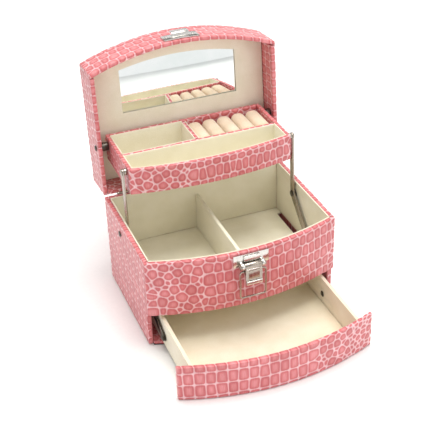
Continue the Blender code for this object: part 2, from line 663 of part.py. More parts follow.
def build_bail(bail):
    """Build the bail: one bent wire whose ends hook into the lever's cheeks."""
    y, z = bail_pivot()
    corner = 2.5 * BAIL_RADIUS
    end_x = LEVER_HALF_WIDTH - 2 * LATCH_SHEET
    half, low = BAIL_HALF_WIDTH, z - BAIL_LENGTH
    upper = arc((half - corner, z - corner), corner, math.pi / 2, 0.0, 4)
    lower = arc((half - corner, low + corner), corner, 0.0, -math.pi / 2, 4)
    right = [(end_x, z), *upper, *lower]
    path = right + [(-x, height) for x, height in right[::-1]]
    curve = bpy.data.curves.new("latch_bail_wire", "CURVE")
    curve.dimensions = "3D"
    curve.bevel_depth = BAIL_RADIUS
    curve.bevel_resolution = 2
    curve.use_fill_caps = True
    spline = curve.splines.new("POLY")
    spline.points.add(len(path) - 1)
    origin = Vector(bail["shut_origin"])
    for point, (x, height) in zip(spline.points, path):
        point.co = (*(Vector((x, y, height)) - origin), 1.0)
    obj = bpy.data.objects.new("latch_bail", curve)
    bpy.context.scene.collection.objects.link(obj)
    curve.materials.append(finish_material("latch_bail", "nickel"))
    obj.parent = bail


def build_tray(tray):
    """Build the tray: bowed box, two dividers and a row of ring rolls."""
    top = RIM + TRAY_ABOVE_RIM
    bottom = top - TRAY_HEIGHT
    inner = TRAY_HALF_WIDTH - TRAY_BOARD
    board_top = bottom + TRAY_BOTTOM_BOARD
    front_edge = TRAY_BOARD + GAP
    side_front = tray_front_y(TRAY_HALF_WIDTH, front_edge)
    back_inner = TRAY_BACK_Y - TRAY_BOARD
    for side, name in ((-1, "left"), (1, "right")):
        low_x, high_x = sorted((side * inner, side * TRAY_HALF_WIDTH))
        wall = box_object("tray_" + name + "_side", (low_x, side_front, bottom),
                          (high_x, TRAY_BACK_Y, top), "pink_leather", tray)
        cut_hole(wall, "tray_" + name + "_side_hole", LINKAGE["rear"], RIVET_RADIUS + GAP, side,
                 inner - BOARD, TRAY_HALF_WIDTH + BOARD)
    box_object("tray_back", (-inner + GAP, back_inner, bottom),
               (inner - GAP, TRAY_BACK_Y, top), "pink_leather", tray)
    bowed_board("tray_front", tray_front_y, TRAY_HALF_WIDTH, 0.0, TRAY_BOARD, bottom, top,
                "pink_leather", tray)
    bowed_floor("tray_bottom", tray_front_y, inner - GAP, front_edge, back_inner - GAP,
                bottom, board_top, "beige_lining", tray)
    divider_top = top - TRAY_DIVIDER_DROP
    divider_y = TRAY_BACK_Y - LONG_DIVIDER_BACK
    floor = board_top + GAP
    box_object("tray_long_divider", (-inner + GAP, divider_y - TRAY_DIVIDER / 2, floor),
               (inner - GAP, divider_y + TRAY_DIVIDER / 2, divider_top), "pink_leather", tray)
    cell_front = divider_y + TRAY_DIVIDER / 2 + GAP
    cell_back = back_inner - GAP
    box_object("tray_short_divider",
               (SHORT_DIVIDER_X - TRAY_DIVIDER / 2, cell_front, floor),
               (SHORT_DIVIDER_X + TRAY_DIVIDER / 2, cell_back, divider_top), "pink_leather", tray)
    build_ring_rolls(tray, inner, cell_front, cell_back, floor, top)


def build_ring_rolls(tray, inner, front, back, floor, top):
    """Build the soft rolls that hold rings between them, side by side."""
    start = SHORT_DIVIDER_X + TRAY_DIVIDER / 2 + GAP
    pitch = (inner - GAP - start) / RING_ROLLS
    radius = (pitch - ROLL_GAP) / 2
    crown = top - ROLL_DROP - radius
    for number in range(RING_ROLLS):
        middle = start + pitch * (number + 0.5)
        outline = [(middle - radius, floor), (middle + radius, floor)]
        outline += arc((middle, crown), radius, 0.0, math.pi, 2 * ARC_STEPS)
        name = "ring_roll_" + str(number + 1)
        prism_object(name, outline, "Y", front, back, "cream_velvet", tray)


def build_tray_pivots(lid):
    """Build the rivets that hang the back of the tray between the lid's side walls."""
    inner = TRAY_HALF_WIDTH - TRAY_BOARD
    for side, name in ((-1, "left"), (1, "right")):
        profile = [
            (inner, RIVET_RADIUS),
            (TRAY_HALF_WIDTH + GAP, RIVET_RADIUS),
            (TRAY_HALF_WIDTH + GAP, COLLAR_RADIUS),
            (SIDE_INNER - GAP, COLLAR_RADIUS),
            (SIDE_INNER - GAP, RIVET_RADIUS),
            (HALF + GAP, RIVET_RADIUS),
            (HALF + GAP, RIVET_HEAD_RADIUS),
            (HALF + GAP + RIVET_HEAD, RIVET_HEAD_RADIUS * HEAD_EDGE),
        ]
        turned_object(name + "_tray_pivot", profile, LINKAGE["rear"], side, "dark_steel", lid)


def bent_bar_outline(top, corner, foot, half_top, half_foot):
    """Outline a flat bar with two legs from a corner and round ends, as (y, z) points."""
    corner = Vector(corner)
    legs = []
    for end in (top, foot):
        along = (Vector(end) - corner).normalized()
        legs.append((along, Vector((-along.y, along.x))))
    (up, up_side), (down, down_side) = legs
    joints = []
    for sign in (1, -1):
        start = corner + sign * half_top * up_side
        other = corner - sign * half_foot * down_side
        gap = other - start
        reach = (gap.x * down.y - gap.y * down.x) / (up.x * down.y - up.y * down.x)
        joints.append(start + reach * up)
    up_angle, down_angle = math.atan2(up.y, up.x), math.atan2(down.y, down.x)
    quarter = math.pi / 2
    outline = [tuple(joints[0])]
    outline += arc(top, half_top, up_angle + quarter, up_angle - quarter)
    outline += [tuple(joints[1])]
    outline += arc(foot, half_foot, down_angle + quarter, down_angle - quarter)
    return outline


def build_arms(arms):
    """Build the bent arm on each side with the rivets at its two ends."""
    outline = bent_bar_outline(LINKAGE["front"], LINKAGE["wall"], LINKAGE["crank_end"],
                               ARM_HALF_TOP, ARM_HALF_LOWER)
    front_rivet = [
        (TRAY_HALF_WIDTH + GAP, COLLAR_RADIUS * 0.75),
        (ARM_IN - GAP, COLLAR_RADIUS * 0.75),
        (ARM_IN - GAP, RIVET_RADIUS),
        (HEAD_IN, RIVET_RADIUS),
        (HEAD_IN, RIVET_HEAD_RADIUS),
        (HEAD_OUT, RIVET_HEAD_RADIUS * HEAD_EDGE),
    ]
    link_rivet = [
        (ARM_IN, RIVET_RADIUS),
        (HEAD_IN, RIVET_RADIUS),
        (HEAD_IN, RIVET_HEAD_RADIUS),
        (HEAD_OUT, RIVET_HEAD_RADIUS * HEAD_EDGE),
    ]
    for side, name in ((-1, "left"), (1, "right")):
        ends = sorted((side * ARM_IN, side * ARM_OUT))
        arm = prism_object(name + "_arm", outline, "X", *ends, "nickel", arms[name])
        for spot in ("front", "wall", "crank_end"):
            cut_hole(arm, name + "_arm_" + spot + "_hole", LINKAGE[spot], RIVET_RADIUS + GAP, side,
                     ARM_IN - BOARD, ARM_OUT + BOARD)
        turned_object(name + "_arm_tray_rivet", front_rivet, LINKAGE["front"], side, "nickel",
                      arms[name])
        turned_object(name + "_arm_link_rivet", link_rivet, LINKAGE["crank_end"], side, "nickel",
                      arms[name])


def build_links(links):
    """Build the flat link from the drawer to each arm's lower end."""
    start, end = LINKAGE["crank_end"], LINKAGE["drawer"]
    along = math.radians(direction_deg(start, end))
    quarter = math.pi / 2
    outline = arc(start, LINK_HALF, along + quarter, along + 3 * quarter)
    outline += arc(end, LINK_HALF, along - quarter, along + quarter)
    for side, name in ((-1, "left"), (1, "right")):
        ends = sorted((side * LINK_IN, side * LINK_OUT))
        link = prism_object(name + "_drawer_link", outline, "X", *ends, "dark_steel", links[name])
        cut_hole(link, name + "_drawer_link_hole", end, RIVET_RADIUS + GAP, side,
                 LINK_IN - BOARD, LINK_OUT + BOARD)


def build_drawer(drawer):
    """Build the drawer behind its bowed face, with the studs that its links turn on."""
    face_top = PANEL_BOTTOM - DRAWER_FACE_GAP
    side_top = FLOOR_TOP - FLOOR_BOARD - DRAWER_TOP_ROOM
    bottom = BASE_SHEET + GAP + BOTTOM_BOARD + GAP
    inner = DRAWER_HALF_WIDTH - DRAWER_SIDE_BOARD
    edge = FRONT_BOARD + GAP
    bowed_board("drawer_front", front_y, HALF, 0.0, FRONT_BOARD, DRAWER_FACE_BOTTOM, face_top,
                "pink_leather", drawer)
    side_front = front_y(DRAWER_HALF_WIDTH, edge)
    for side, name in ((-1, "left"), (1, "right")):
        low_x, high_x = sorted((side * inner, side * DRAWER_HALF_WIDTH))
        wall = box_object("drawer_" + name + "_side", (low_x, side_front, bottom),
                          (high_x, DRAWER_BACK_Y, side_top), "beige_lining", drawer)
        cut_hole(wall, "drawer_" + name + "_side_hole", LINKAGE["drawer"], RIVET_RADIUS + GAP,
                 side, inner - BOARD, DRAWER_HALF_WIDTH + BOARD)
    box_object("drawer_back", (-inner + GAP, DRAWER_BACK_Y - DRAWER_SIDE_BOARD, bottom),
               (inner - GAP, DRAWER_BACK_Y, side_top), "beige_lining", drawer)
    bowed_floor("drawer_bottom", front_y, inner - GAP, edge,
                DRAWER_BACK_Y - DRAWER_SIDE_BOARD - GAP, bottom, bottom + DRAWER_BOTTOM_BOARD,
                "beige_lining", drawer)
    stud = [
        (inner - GAP - RIVET_HEAD, RIVET_HEAD_RADIUS * HEAD_EDGE),
        (inner - GAP, RIVET_HEAD_RADIUS),
        (inner - GAP, RIVET_RADIUS),
        (DRAWER_HALF_WIDTH + GAP, RIVET_RADIUS),
        (DRAWER_HALF_WIDTH + GAP, COLLAR_RADIUS),
        (LINK_IN - GAP, COLLAR_RADIUS),
        (LINK_IN - GAP, RIVET_RADIUS),
        (ARM_IN, RIVET_RADIUS),
        (ARM_IN, RIVET_HEAD_RADIUS),
        (ARM_IN + RIVET_HEAD, RIVET_HEAD_RADIUS * HEAD_EDGE),
    ]
    for side, name in ((-1, "left"), (1, "right")):
        turned_object(name + "_drawer_stud", stud, LINKAGE["drawer"], side, "dark_steel", drawer)


def main():
    """Build every piece as it lies when shut, then open the joints."""
    clear_scene()
    lid = add_joint("lid_joint", HINGE_AXIS)
    tray = add_joint("tray_joint", (0.0, *LINKAGE["rear"]), lid)
    drawer = add_joint("drawer_joint", (0.0, *LINKAGE["drawer"]))
    arms, links = {}, {}
    for side, name in ((-1, "left"), (1, "right")):
        arms[name] = add_joint(name + "_arm_joint", (side * ARM_IN, *LINKAGE["wall"]))
        links[name] = add_joint(name + "_link_joint", (side * LINK_IN, *LINKAGE["drawer"]), drawer)
    lever = add_joint("lever_joint", (0.0, *lever_pivot()))
    bail = add_joint("bail_joint", (0.0, *bail_pivot()), lever)

    build_case()
    build_arm_pivots()
    build_hinge(lid)
    build_lid(lid)
    build_keeper(lid)
    build_latch(lever, bail)
    build_tray(tray)
    build_tray_pivots(lid)
    build_arms(arms)
    build_links(links)
    build_drawer(drawer)

    lid.rotation_euler.x = -math.radians(LID_OPEN_DEG)
    tray.rotation_euler.x = math.radians(LID_OPEN_DEG)
    drawer.location.y -= DRAWER_TRAVEL
    link_turn = LINKAGE["link_open"] - LINKAGE["link_shut"]
    for name in ("left", "right"):
        arms[name].rotation_euler.x = -math.radians(LINKAGE["swing"])
        links[name].rotation_euler.x = math.radians(link_turn)


if __name__ == "__main__":
    main()
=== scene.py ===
"""Looks of a three-layer jewelry box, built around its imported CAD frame.

Lengths are in millimetres until a piece is placed, and in metres after that.
"""
import json
import logging
import math
from dataclasses import dataclass, field
from enum import Enum
from typing import Callable, Optional, Sequence

import bmesh
import bpy
import numpy as np
from mathutils import Matrix, Vector


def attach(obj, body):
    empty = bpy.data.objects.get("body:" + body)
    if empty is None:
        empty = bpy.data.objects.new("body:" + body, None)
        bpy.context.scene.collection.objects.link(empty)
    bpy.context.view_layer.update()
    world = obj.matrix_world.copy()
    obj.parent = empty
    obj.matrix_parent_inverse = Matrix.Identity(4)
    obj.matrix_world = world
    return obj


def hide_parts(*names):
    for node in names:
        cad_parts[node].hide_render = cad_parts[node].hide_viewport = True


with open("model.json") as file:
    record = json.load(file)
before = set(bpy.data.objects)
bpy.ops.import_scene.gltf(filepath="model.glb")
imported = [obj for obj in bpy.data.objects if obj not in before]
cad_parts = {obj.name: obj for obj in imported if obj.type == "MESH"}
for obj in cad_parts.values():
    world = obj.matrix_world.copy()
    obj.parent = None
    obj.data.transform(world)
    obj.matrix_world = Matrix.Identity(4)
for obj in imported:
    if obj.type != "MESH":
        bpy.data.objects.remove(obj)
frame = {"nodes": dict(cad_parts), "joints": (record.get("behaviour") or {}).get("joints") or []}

LOG = logging.getLogger("jewelry_box")
MM = 0.001

# Millimetres.
BOARD = 4.0            # the case's and lid's boards
BOARD_ENDS = -54.0     # where the side boards stop, behind the bowed front
BACK_HALF = 83.5       # half the back boards, between the side boards
WRAP = 203.5           # along the hide, from the front's middle to a back corner
TRAY_BOARD = 3.5       # the tray's boards
TRAY_BACK_HALF = 72.6  # half the tray's back board
TRAY_WRAP = 148.0      # as WRAP, round the tray
COARSE = 9.0           # a grid pitch that leaves a small piece's faces whole

Place = Callable[[np.ndarray, np.ndarray, np.ndarray], np.ndarray]
Edge = frozenset
# Edges of a board by the two faces that meet there, each an axis (0 along, 1 up,
# 2 inward) and a side. LOW and HIGH are its ends, UNDER is where up starts, which is
# the top of a lid's board, because the lid is laid out from its top down.
LOW_OUTER, HIGH_OUTER = Edge({(0, -1), (2, -1)}), Edge({(0, 1), (2, -1)})
LOW_INNER, HIGH_INNER = Edge({(0, -1), (2, 1)}), Edge({(0, 1), (2, 1)})
LOW_UNDER, HIGH_UNDER = Edge({(0, -1), (1, -1)}), Edge({(0, 1), (1, -1)})
UNDER_OUTER = Edge({(1, -1), (2, -1)})


# ---------------------------------------------------------------- tools

def linear(code: str) -> tuple[float, float, float, float]:
    """Turns an sRGB hex colour to linear.

    Args:
        code: Six hex digits after a hash sign.

    Returns:
        Linear red, green and blue, and an alpha of 1.
    """
    parts = [int(code[i:i + 2], 16) / 255 for i in (1, 3, 5)]
    low = [c / 12.92 if c <= 0.04045 else ((c + 0.055) / 1.055) ** 2.4 for c in parts]
    return (low[0], low[1], low[2], 1.0)


def add_node(tree: bpy.types.NodeTree, kind: str, values: Optional[dict] = None,
             links: Optional[dict] = None, stops: Sequence[tuple[float, str]] = (),
             **settings: object) -> bpy.types.Node:
    """Adds a node to a tree with its settings, socket values and links.

    Args:
        tree: The node tree.
        kind: The node's type, without the ShaderNode prefix.
        values: Values of input sockets, by name or number.
        links: Output sockets to link in, by the input's name or number.
        stops: Each place and sRGB hex colour of the node's ramp, if it has one.
        **settings: The node's own settings.

    Returns:
        The new node.
    """
    node = tree.nodes.new("ShaderNode" + kind)
    for key, value in settings.items():
        setattr(node, key, value)
    while stops and len(node.color_ramp.elements) < len(stops):
        node.color_ramp.elements.new(0.5)
    for index, (place, code) in enumerate(stops):
        node.color_ramp.elements[index].position = place
        node.color_ramp.elements[index].color = linear(code)
    for key, value in (values or {}).items():
        node.inputs[key].default_value = value
    for key, source in (links or {}).items():
        tree.links.new(source, node.inputs[key])
    return node


def select_only(obj: bpy.types.Object) -> None:
    """Deselects everything, then selects one object and makes it active.

    Args:
        obj: The object.
    """
    bpy.ops.object.select_all(action="DESELECT")
    obj.select_set(True)
    bpy.context.view_layer.objects.active = obj


def read_points(obj: bpy.types.Object) -> np.ndarray:
    """Reads a mesh object's vertices.

    Args:
        obj: The object.

    Returns:
        A row of three numbers for each vertex.
    """
    flat = np.empty(len(obj.data.vertices) * 3, np.float32)
    obj.data.vertices.foreach_get("co", flat)
    return flat.reshape(-1, 3).astype(float)


def write_points(obj: bpy.types.Object, points: np.ndarray) -> None:
    """Writes a mesh object's vertices from rows of three numbers."""
    obj.data.vertices.foreach_set("co", points.astype(np.float32).ravel())
    obj.data.update()


def smooth(value: np.ndarray, low: float, high: float) -> np.ndarray:
    """Rises smoothly from 0 at a low value to 1 at a high one."""
    part = np.clip((value - low) / (high - low), 0.0, 1.0)
    return part * part * (3 - 2 * part)


def turn_out(obj: bpy.types.Object) -> None:
    """Makes the normals of a closed piece point outwards.

    Args:
        obj: The piece.
    """
    select_only(obj)
    bpy.ops.object.mode_set(mode="EDIT")
    bpy.ops.mesh.select_all(action="SELECT")
    bpy.ops.mesh.normals_make_consistent(inside=False)
    bpy.ops.object.mode_set(mode="OBJECT")


def apply_modifier(obj: bpy.types.Object, kind: str, **settings: object) -> None:
    """Adds a modifier with its settings and applies it.

    Args:
        obj: The object.
        kind: The modifier's type.
        **settings: The modifier's settings.
    """
    select_only(obj)
    modifier = obj.modifiers.new(kind, kind)
    for key, value in settings.items():
        setattr(modifier, key, value)
    bpy.ops.object.modifier_apply(modifier=modifier.name)


def join(name: str, parts: Sequence[bpy.types.Object]) -> bpy.types.Object:
    """Joins objects into one.

    Args:
        name: The joined object's name.
        parts: The objects, of which the first one stays.

    Returns:
        The joined object.
    """
    select_only(parts[0])
    for part in parts:
        part.select_set(True)
    bpy.ops.object.join()
    parts[0].name = name
    parts[0].data.name = name
    return parts[0]


def block(name: str, low: Sequence[float], high: Sequence[float], radius: float,
          segments: int, pitch: float, square: Sequence[Edge] = ()) -> bpy.types.Object:
    """Models a rounded block with an even grid of faces, in millimetres.

    Args:
        name: The object's name.
        low: The lowest corner.
        high: The highest corner.
        radius: The radius of its rounded edges.
        segments: The number of faces across a rounded edge.
        pitch: The spacing of the grid.
        square: Edges that stay square, each as two (axis, side) faces that meet.

    Returns:
        The block.
    """
    middle = [(a + b) / 2 for a, b in zip(low, high)]
    size = [b - a for a, b in zip(low, high)]
    bpy.ops.object.select_all(action="DESELECT")
    bpy.ops.mesh.primitive_cube_add(size=1.0, location=middle, scale=size)
    obj = bpy.context.active_object
    obj.name = name
    obj.data.name = name
    bpy.ops.object.transform_apply(location=True, rotation=True, scale=True)
    bpy.ops.object.mode_set(mode="EDIT")
    bpy.ops.mesh.select_mode(type="EDGE")
    mesh = bmesh.from_edit_mesh(obj.data)
    for edge in mesh.edges:
        centre = (edge.verts[0].co + edge.verts[1].co) / 2
        faces = {(i, -1) for i in range(3) if abs(centre[i] - low[i]) < 1e-4}
        faces |= {(i, 1) for i in range(3) if abs(centre[i] - high[i]) < 1e-4}
        edge.select_set(not any(set(pair) <= faces for pair in square))
    bmesh.update_edit_mesh(obj.data)
    bpy.ops.mesh.bevel(offset=radius, segments=segments, profile=0.5, affect="EDGES")
    for axis in range(3):
        length = size[axis] - 2 * radius
        cuts = int(length / pitch)
        if cuts < 1:
            continue
        mesh = bmesh.from_edit_mesh(obj.data)
        for edge in mesh.edges:
            run = edge.verts[1].co - edge.verts[0].co
            along = abs(run[axis])
            edge.select_set(along > 0.6 * length and along > 0.99 * run.length)
        mesh.select_flush_mode()
        bmesh.update_edit_mesh(obj.data)
        bpy.ops.mesh.subdivide_edgering(number_cuts=cuts, interpolation="LINEAR",
                                        smoothness=0.0)
    bpy.ops.object.mode_set(mode="OBJECT")
    return obj


def settle(obj: bpy.types.Object, place: Place) -> bpy.types.Object:
    """Carries a piece from its own millimetres to its place in the frame.

    Args:
        obj: The piece, modelled along, up and inward from a wall's outer face.
        place: Turns those three lengths to a place in millimetres.

    Returns:
        The piece, in metres.
    """
    points = read_points(obj)
    write_points(obj, place(points[:, 0], points[:, 1], points[:, 2]) * MM)
    turn_out(obj)
    select_only(obj)
    bpy.ops.object.shade_smooth()
    return obj


def plain(a: np.ndarray, b: np.ndarray, d: np.ndarray) -> np.ndarray:
    """Leaves a point where it is."""
    return np.stack([a, b, d], 1)


def refine(node: str, name: str, width: float) -> bpy.types.Object:
    """Copies a CAD node, cleans its mesh and rounds its edges.

    Args:
        node: The CAD node.
        name: The copy's name.
        width: The width of a rounded edge in millimetres.

    Returns:
        The finished copy, which replaces the node.
    """
    obj = bpy.data.objects.new(name, frame["nodes"][node].data.copy())
    bpy.context.scene.collection.objects.link(obj)
    obj.data.materials.clear()
    select_only(obj)
    bpy.ops.object.mode_set(mode="EDIT")
    bpy.ops.mesh.select_mode(type="VERT")
    bpy.ops.mesh.select_all(action="SELECT")
    bpy.ops.mesh.remove_doubles(threshold=1e-6)
    bpy.ops.mesh.dissolve_limited(angle_limit=math.radians(0.5))
    bpy.ops.object.mode_set(mode="OBJECT")
    apply_modifier(obj, "BEVEL", width=width * MM, segments=2,
                   limit_method="ANGLE", angle_limit=math.radians(35),
                   use_clamp_overlap=True, loop_slide=True)
    select_only(obj)
    bpy.ops.object.shade_smooth_by_angle(angle=math.radians(32))
    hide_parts(node)
    return obj


def corners(node: str, turn: Optional[Matrix] = None) -> tuple[np.ndarray, np.ndarray]:
    """Finds a CAD node's lowest and highest corners.

    Args:
        node: The CAD node.
        turn: A turn to look at it in, such as back to the shut lid.

    Returns:
        The lowest and the highest corner, in millimetres.
    """
    points = read_points(frame["nodes"][node])
    if turn is not None:
        grid = np.array(turn)
        points = points @ grid[:3, :3].T + grid[:3, 3]
    return points.min(0) / MM, points.max(0) / MM


# ---------------------------------------------------------------- hide

class ScalePattern(Enum):
    """How the embossed scales of a stretch of hide lie."""

    BELLY = "rows of square tiles"
    FLANK = "large round scales with small ones between"
    PEBBLE = "small round scales"


@dataclass(frozen=True)
class Zone:
    """A stretch of hide with one pattern of scales, in millimetres along and up."""

    pattern: ScalePattern
    low: tuple[float, float]
    high: tuple[float, float]
    across: float
    rows: tuple[float, ...] = (10.0,)
    slant: float = 0.0
    taper: float = 0.0
    brick: float = 0.0

    # How a row of tiles sways and how far a tile strays, in millimetres.
    SWAY, SWAY_LENGTH = 0.7, 13.0
    STRAY_UP, STRAY_ALONG, STRAY_SIZE = 0.3, 0.35, 0.3
    # Tries for each round scale, and how near two may come.
    TRIES, NEAR = 26, 0.9

    def seeds(self, rng: np.random.Generator) -> list[tuple[float, float, float]]:
        """Places the scales.

        Args:
            rng: The random generator.

        Returns:
            Each scale's place along and up, and its radius.
        """
        if self.pattern is ScalePattern.BELLY:
            return self._tiles(rng)
        spread = (1.0, 0.5) if self.pattern is ScalePattern.FLANK else (1.0, 0.75)
        return self._thrown(rng, spread)

    def _tiles(self, rng: np.random.Generator) -> list[tuple[float, float, float]]:
        """Places tiles in rows, each row's columns shifted by its own part.

        Args:
            rng: The random generator.

        Returns:
            Each tile's place along and up, and its radius.
        """
        made = []
        span = self.high[0] - self.low[0]
        base, row = self.low[1] - 0.5, 0
        while base < self.high[1]:
            tall = self.rows[row % len(self.rows)]
            along = self.low[0] - self.across * self.brick * rng.uniform(0.0, 1.0)
            wave = rng.uniform(0.0, 6.28)
            while along < self.high[0]:
                part = min(max((along - self.low[0]) / span, 0.0), 1.0)
                step = self.across * (1 - self.taper * part)
                if self.brick:
                    step *= rng.uniform(0.82, 1.2)
                up = base + tall / 2 + self.slant * (along - self.low[0])
                up += (self.SWAY * math.sin(along / self.SWAY_LENGTH + wave)
                       + rng.normal(0, self.STRAY_UP))
                made.append((along + step / 2 + rng.normal(0, self.STRAY_ALONG), up,
                             math.hypot(step, tall) / 2
                             + rng.uniform(-self.STRAY_SIZE, self.STRAY_SIZE)))
                along += step
            base += tall
            row += 1
        return made

    def _thrown(self, rng: np.random.Generator,
                spread: tuple[float, float]) -> list[tuple[float, float, float]]:
        """Throws round scales so that they nearly touch, the larger ones first.

        Args:
            rng: The random generator.
            spread: The largest and the smallest scale, as parts of the width.

        Returns:
            Each scale's place along and up, and its radius.
        """
        made = np.empty((0, 3))
        area = (self.high[0] - self.low[0]) * (self.high[1] - self.low[1])
        for part in (spread[0], (spread[0] + spread[1]) / 2, spread[1]):
            for _ in range(int(self.TRIES * area / (self.across * part) ** 2)):
                radius = self.across / 2 * part * rng.uniform(0.88, 1.12)
                spot = rng.uniform(self.low, self.high)
                gaps = np.hypot(made[:, 0] - spot[0], made[:, 1] - spot[1])
                if len(made) and (gaps < self.NEAR * (made[:, 2] + radius)).any():
                    continue
                made = np.vstack([made, (*spot, radius)])
        return [tuple(row) for row in made]


class Hide:
    """A sheet of hide embossed with scales, laid out flat in millimetres."""

    # How far away a point's scales may lie, in millimetres.
    SEARCH = 16.0
    # The larger, the sharper a scale's corners.
    ROUNDING = 1.7
    NEAREST = 6
    # Points measured at a time, which keeps the tables small.
    CHUNK = 6000

    def __init__(self, seed: int, zones: Sequence[Zone]) -> None:
        """Places the scales of every zone.

        Args:
            seed: The seed of its random numbers.
            zones: Its stretches.
        """
        rng = np.random.default_rng(seed)
        rows = [spot for zone in zones for spot in zone.seeds(rng)]
        self.scales = np.array(rows, float)
        self.tones = rng.uniform(0.0, 1.0, len(rows))

    def measure(self, along: np.ndarray, up: np.ndarray) -> tuple[np.ndarray, np.ndarray]:
        """Measures points against the scales.

        Args:
            along: The points' places along the hide.
            up: Their places up it.

        Returns:
            Their distance in from their scale's edge, and their scale's tone.
        """
        edge = np.zeros(len(along))
        tone = np.zeros(len(along))
        order = np.argsort(along, kind="stable")
        for start in range(0, len(order), self.CHUNK):
            rows = order[start:start + self.CHUNK]
            points = np.stack([along[rows], up[rows]], 1)
            near = (self.scales[:, 0] > points[:, 0].min() - self.SEARCH)
            near &= (self.scales[:, 0] < points[:, 0].max() + self.SEARCH)
            scales, tones = self.scales[near], self.tones[near]
            if len(scales) <= self.NEAREST:
                # Past the last scale the hide is plain and of a middle tone.
                edge[rows] = 3.0
                tone[rows] = 0.5
                continue
            step = points[:, None, :] - scales[None, :, :2]
            power = (step ** 2).sum(2) - scales[None, :, 2] ** 2
            first = np.argpartition(power, self.NEAREST, axis=1)[:, :self.NEAREST]
            power = np.take_along_axis(power, first, 1)
            rank = np.argsort(power, axis=1)
            first = np.take_along_axis(first, rank, 1)
            power = np.take_along_axis(power, rank, 1)
            home = scales[first[:, 0], :2]
            away = scales[first[:, 1:], :2] - home[:, None, :]
            apart = np.hypot(*away.transpose(2, 0, 1))
            gaps = (power[:, 1:] - power[:, :1]) / (2 * np.maximum(apart, 0.5))
            soft = -np.log(np.exp(-self.ROUNDING * gaps).sum(1)) / self.ROUNDING
            edge[rows] = np.clip(soft, 0.0, 5.0)
            tone[rows] = tones[first[:, 0]]
        return edge, tone


@dataclass
class WrappedBoard:
    """A board wrapped in embossed hide, modelled along, up and inward."""

    name: str
    low: tuple[float, float]
    high: tuple[float, float]
    thickness: float
    place: Place
    hide: Hide
    start: float = 0.0
    reverse: bool = False
    rim: bool = True
    pitch: float = 0.7
    radius: float = 0.9
    square: tuple[Edge, ...] = ()

    DEPTH = 0.36
    CRACK = (0.0, 0.55)
    BAND = (0.35, 1.5)

    def build(self) -> bpy.types.Object:
        """Models the board and presses the scales into it.

        Returns:
            The board, in place, with its edge and tone attributes and its hide map.
        """
        obj = block(self.name, (*self.low, 0.0), (*self.high, self.thickness),
                    self.radius, 3, self.pitch, self.square)
        points = read_points(obj)
        flat = np.empty(len(points) * 3, np.float32)
        obj.data.vertex_normals.foreach_get("vector", flat)
        normals = flat.reshape(-1, 3).astype(float)
        along, up = self._unwrap(points, normals)
        edge, tone = self.hide.measure(along, up)
        crack = 1 - smooth(edge, *self.CRACK)
        band = 1 - smooth(edge, *self.BAND)
        # A narrow crack within a broad dip, which rounds the scale's edge.
        dip = self.DEPTH * (0.45 * crack + 0.55 * band)
        write_points(obj, points - normals * dip[:, None])
        self._store(obj, edge, tone, along, up)
        return settle(obj, self.place)

    def _unwrap(self, points: np.ndarray,
                normals: np.ndarray) -> tuple[np.ndarray, np.ndarray]:
        """Lays the board's points out flat on the hide, which turns over its edges.

        Args:
            points: The points, along, up and inward.
            normals: The surface's direction at each.

        Returns:
            Their places along and up the hide.
        """
        middle = (self.low[0] + self.high[0]) / 2
        side = np.sign(points[:, 0] - middle)
        along = points[:, 0] + side * points[:, 2] * normals[:, 0] ** 2
        up = points[:, 1] + np.sign(normals[:, 1]) * points[:, 2] * normals[:, 1] ** 2
        if self.rim:
            inner = normals[:, 2] > 0.6
            up = np.where(inner, 2 * self.high[1] + self.thickness - points[:, 1], up)
        along = self.start + (-along if self.reverse else along)
        return along, up

    @staticmethod
    def _store(obj: bpy.types.Object, edge: np.ndarray, tone: np.ndarray,
               along: np.ndarray, up: np.ndarray) -> None:
        """Stores what the leather's material reads from the mesh.

        Args:
            obj: The board.
            edge: Each point's distance in from its scale's edge.
            tone: Each point's scale's tone.
            along: Each point's place along the hide.
            up: Each point's place up it.
        """
        mesh = obj.data
        mesh.attributes.new("scale_edge", "FLOAT", "POINT").data.foreach_set(
            "value", edge.astype(np.float32))
        mesh.attributes.new("scale_tone", "FLOAT", "POINT").data.foreach_set(
            "value", tone.astype(np.float32))
        for layer in list(mesh.uv_layers):
            mesh.uv_layers.remove(layer)
        chart = mesh.uv_layers.new(name="hide")
        index = np.empty(len(mesh.loops), np.int32)
        mesh.loops.foreach_get("vertex_index", index)
        pairs = np.stack([along[index], up[index]], 1) * 0.01
        chart.data.foreach_set("uv", pairs.astype(np.float32).ravel())


# ---------------------------------------------------------------- finishes

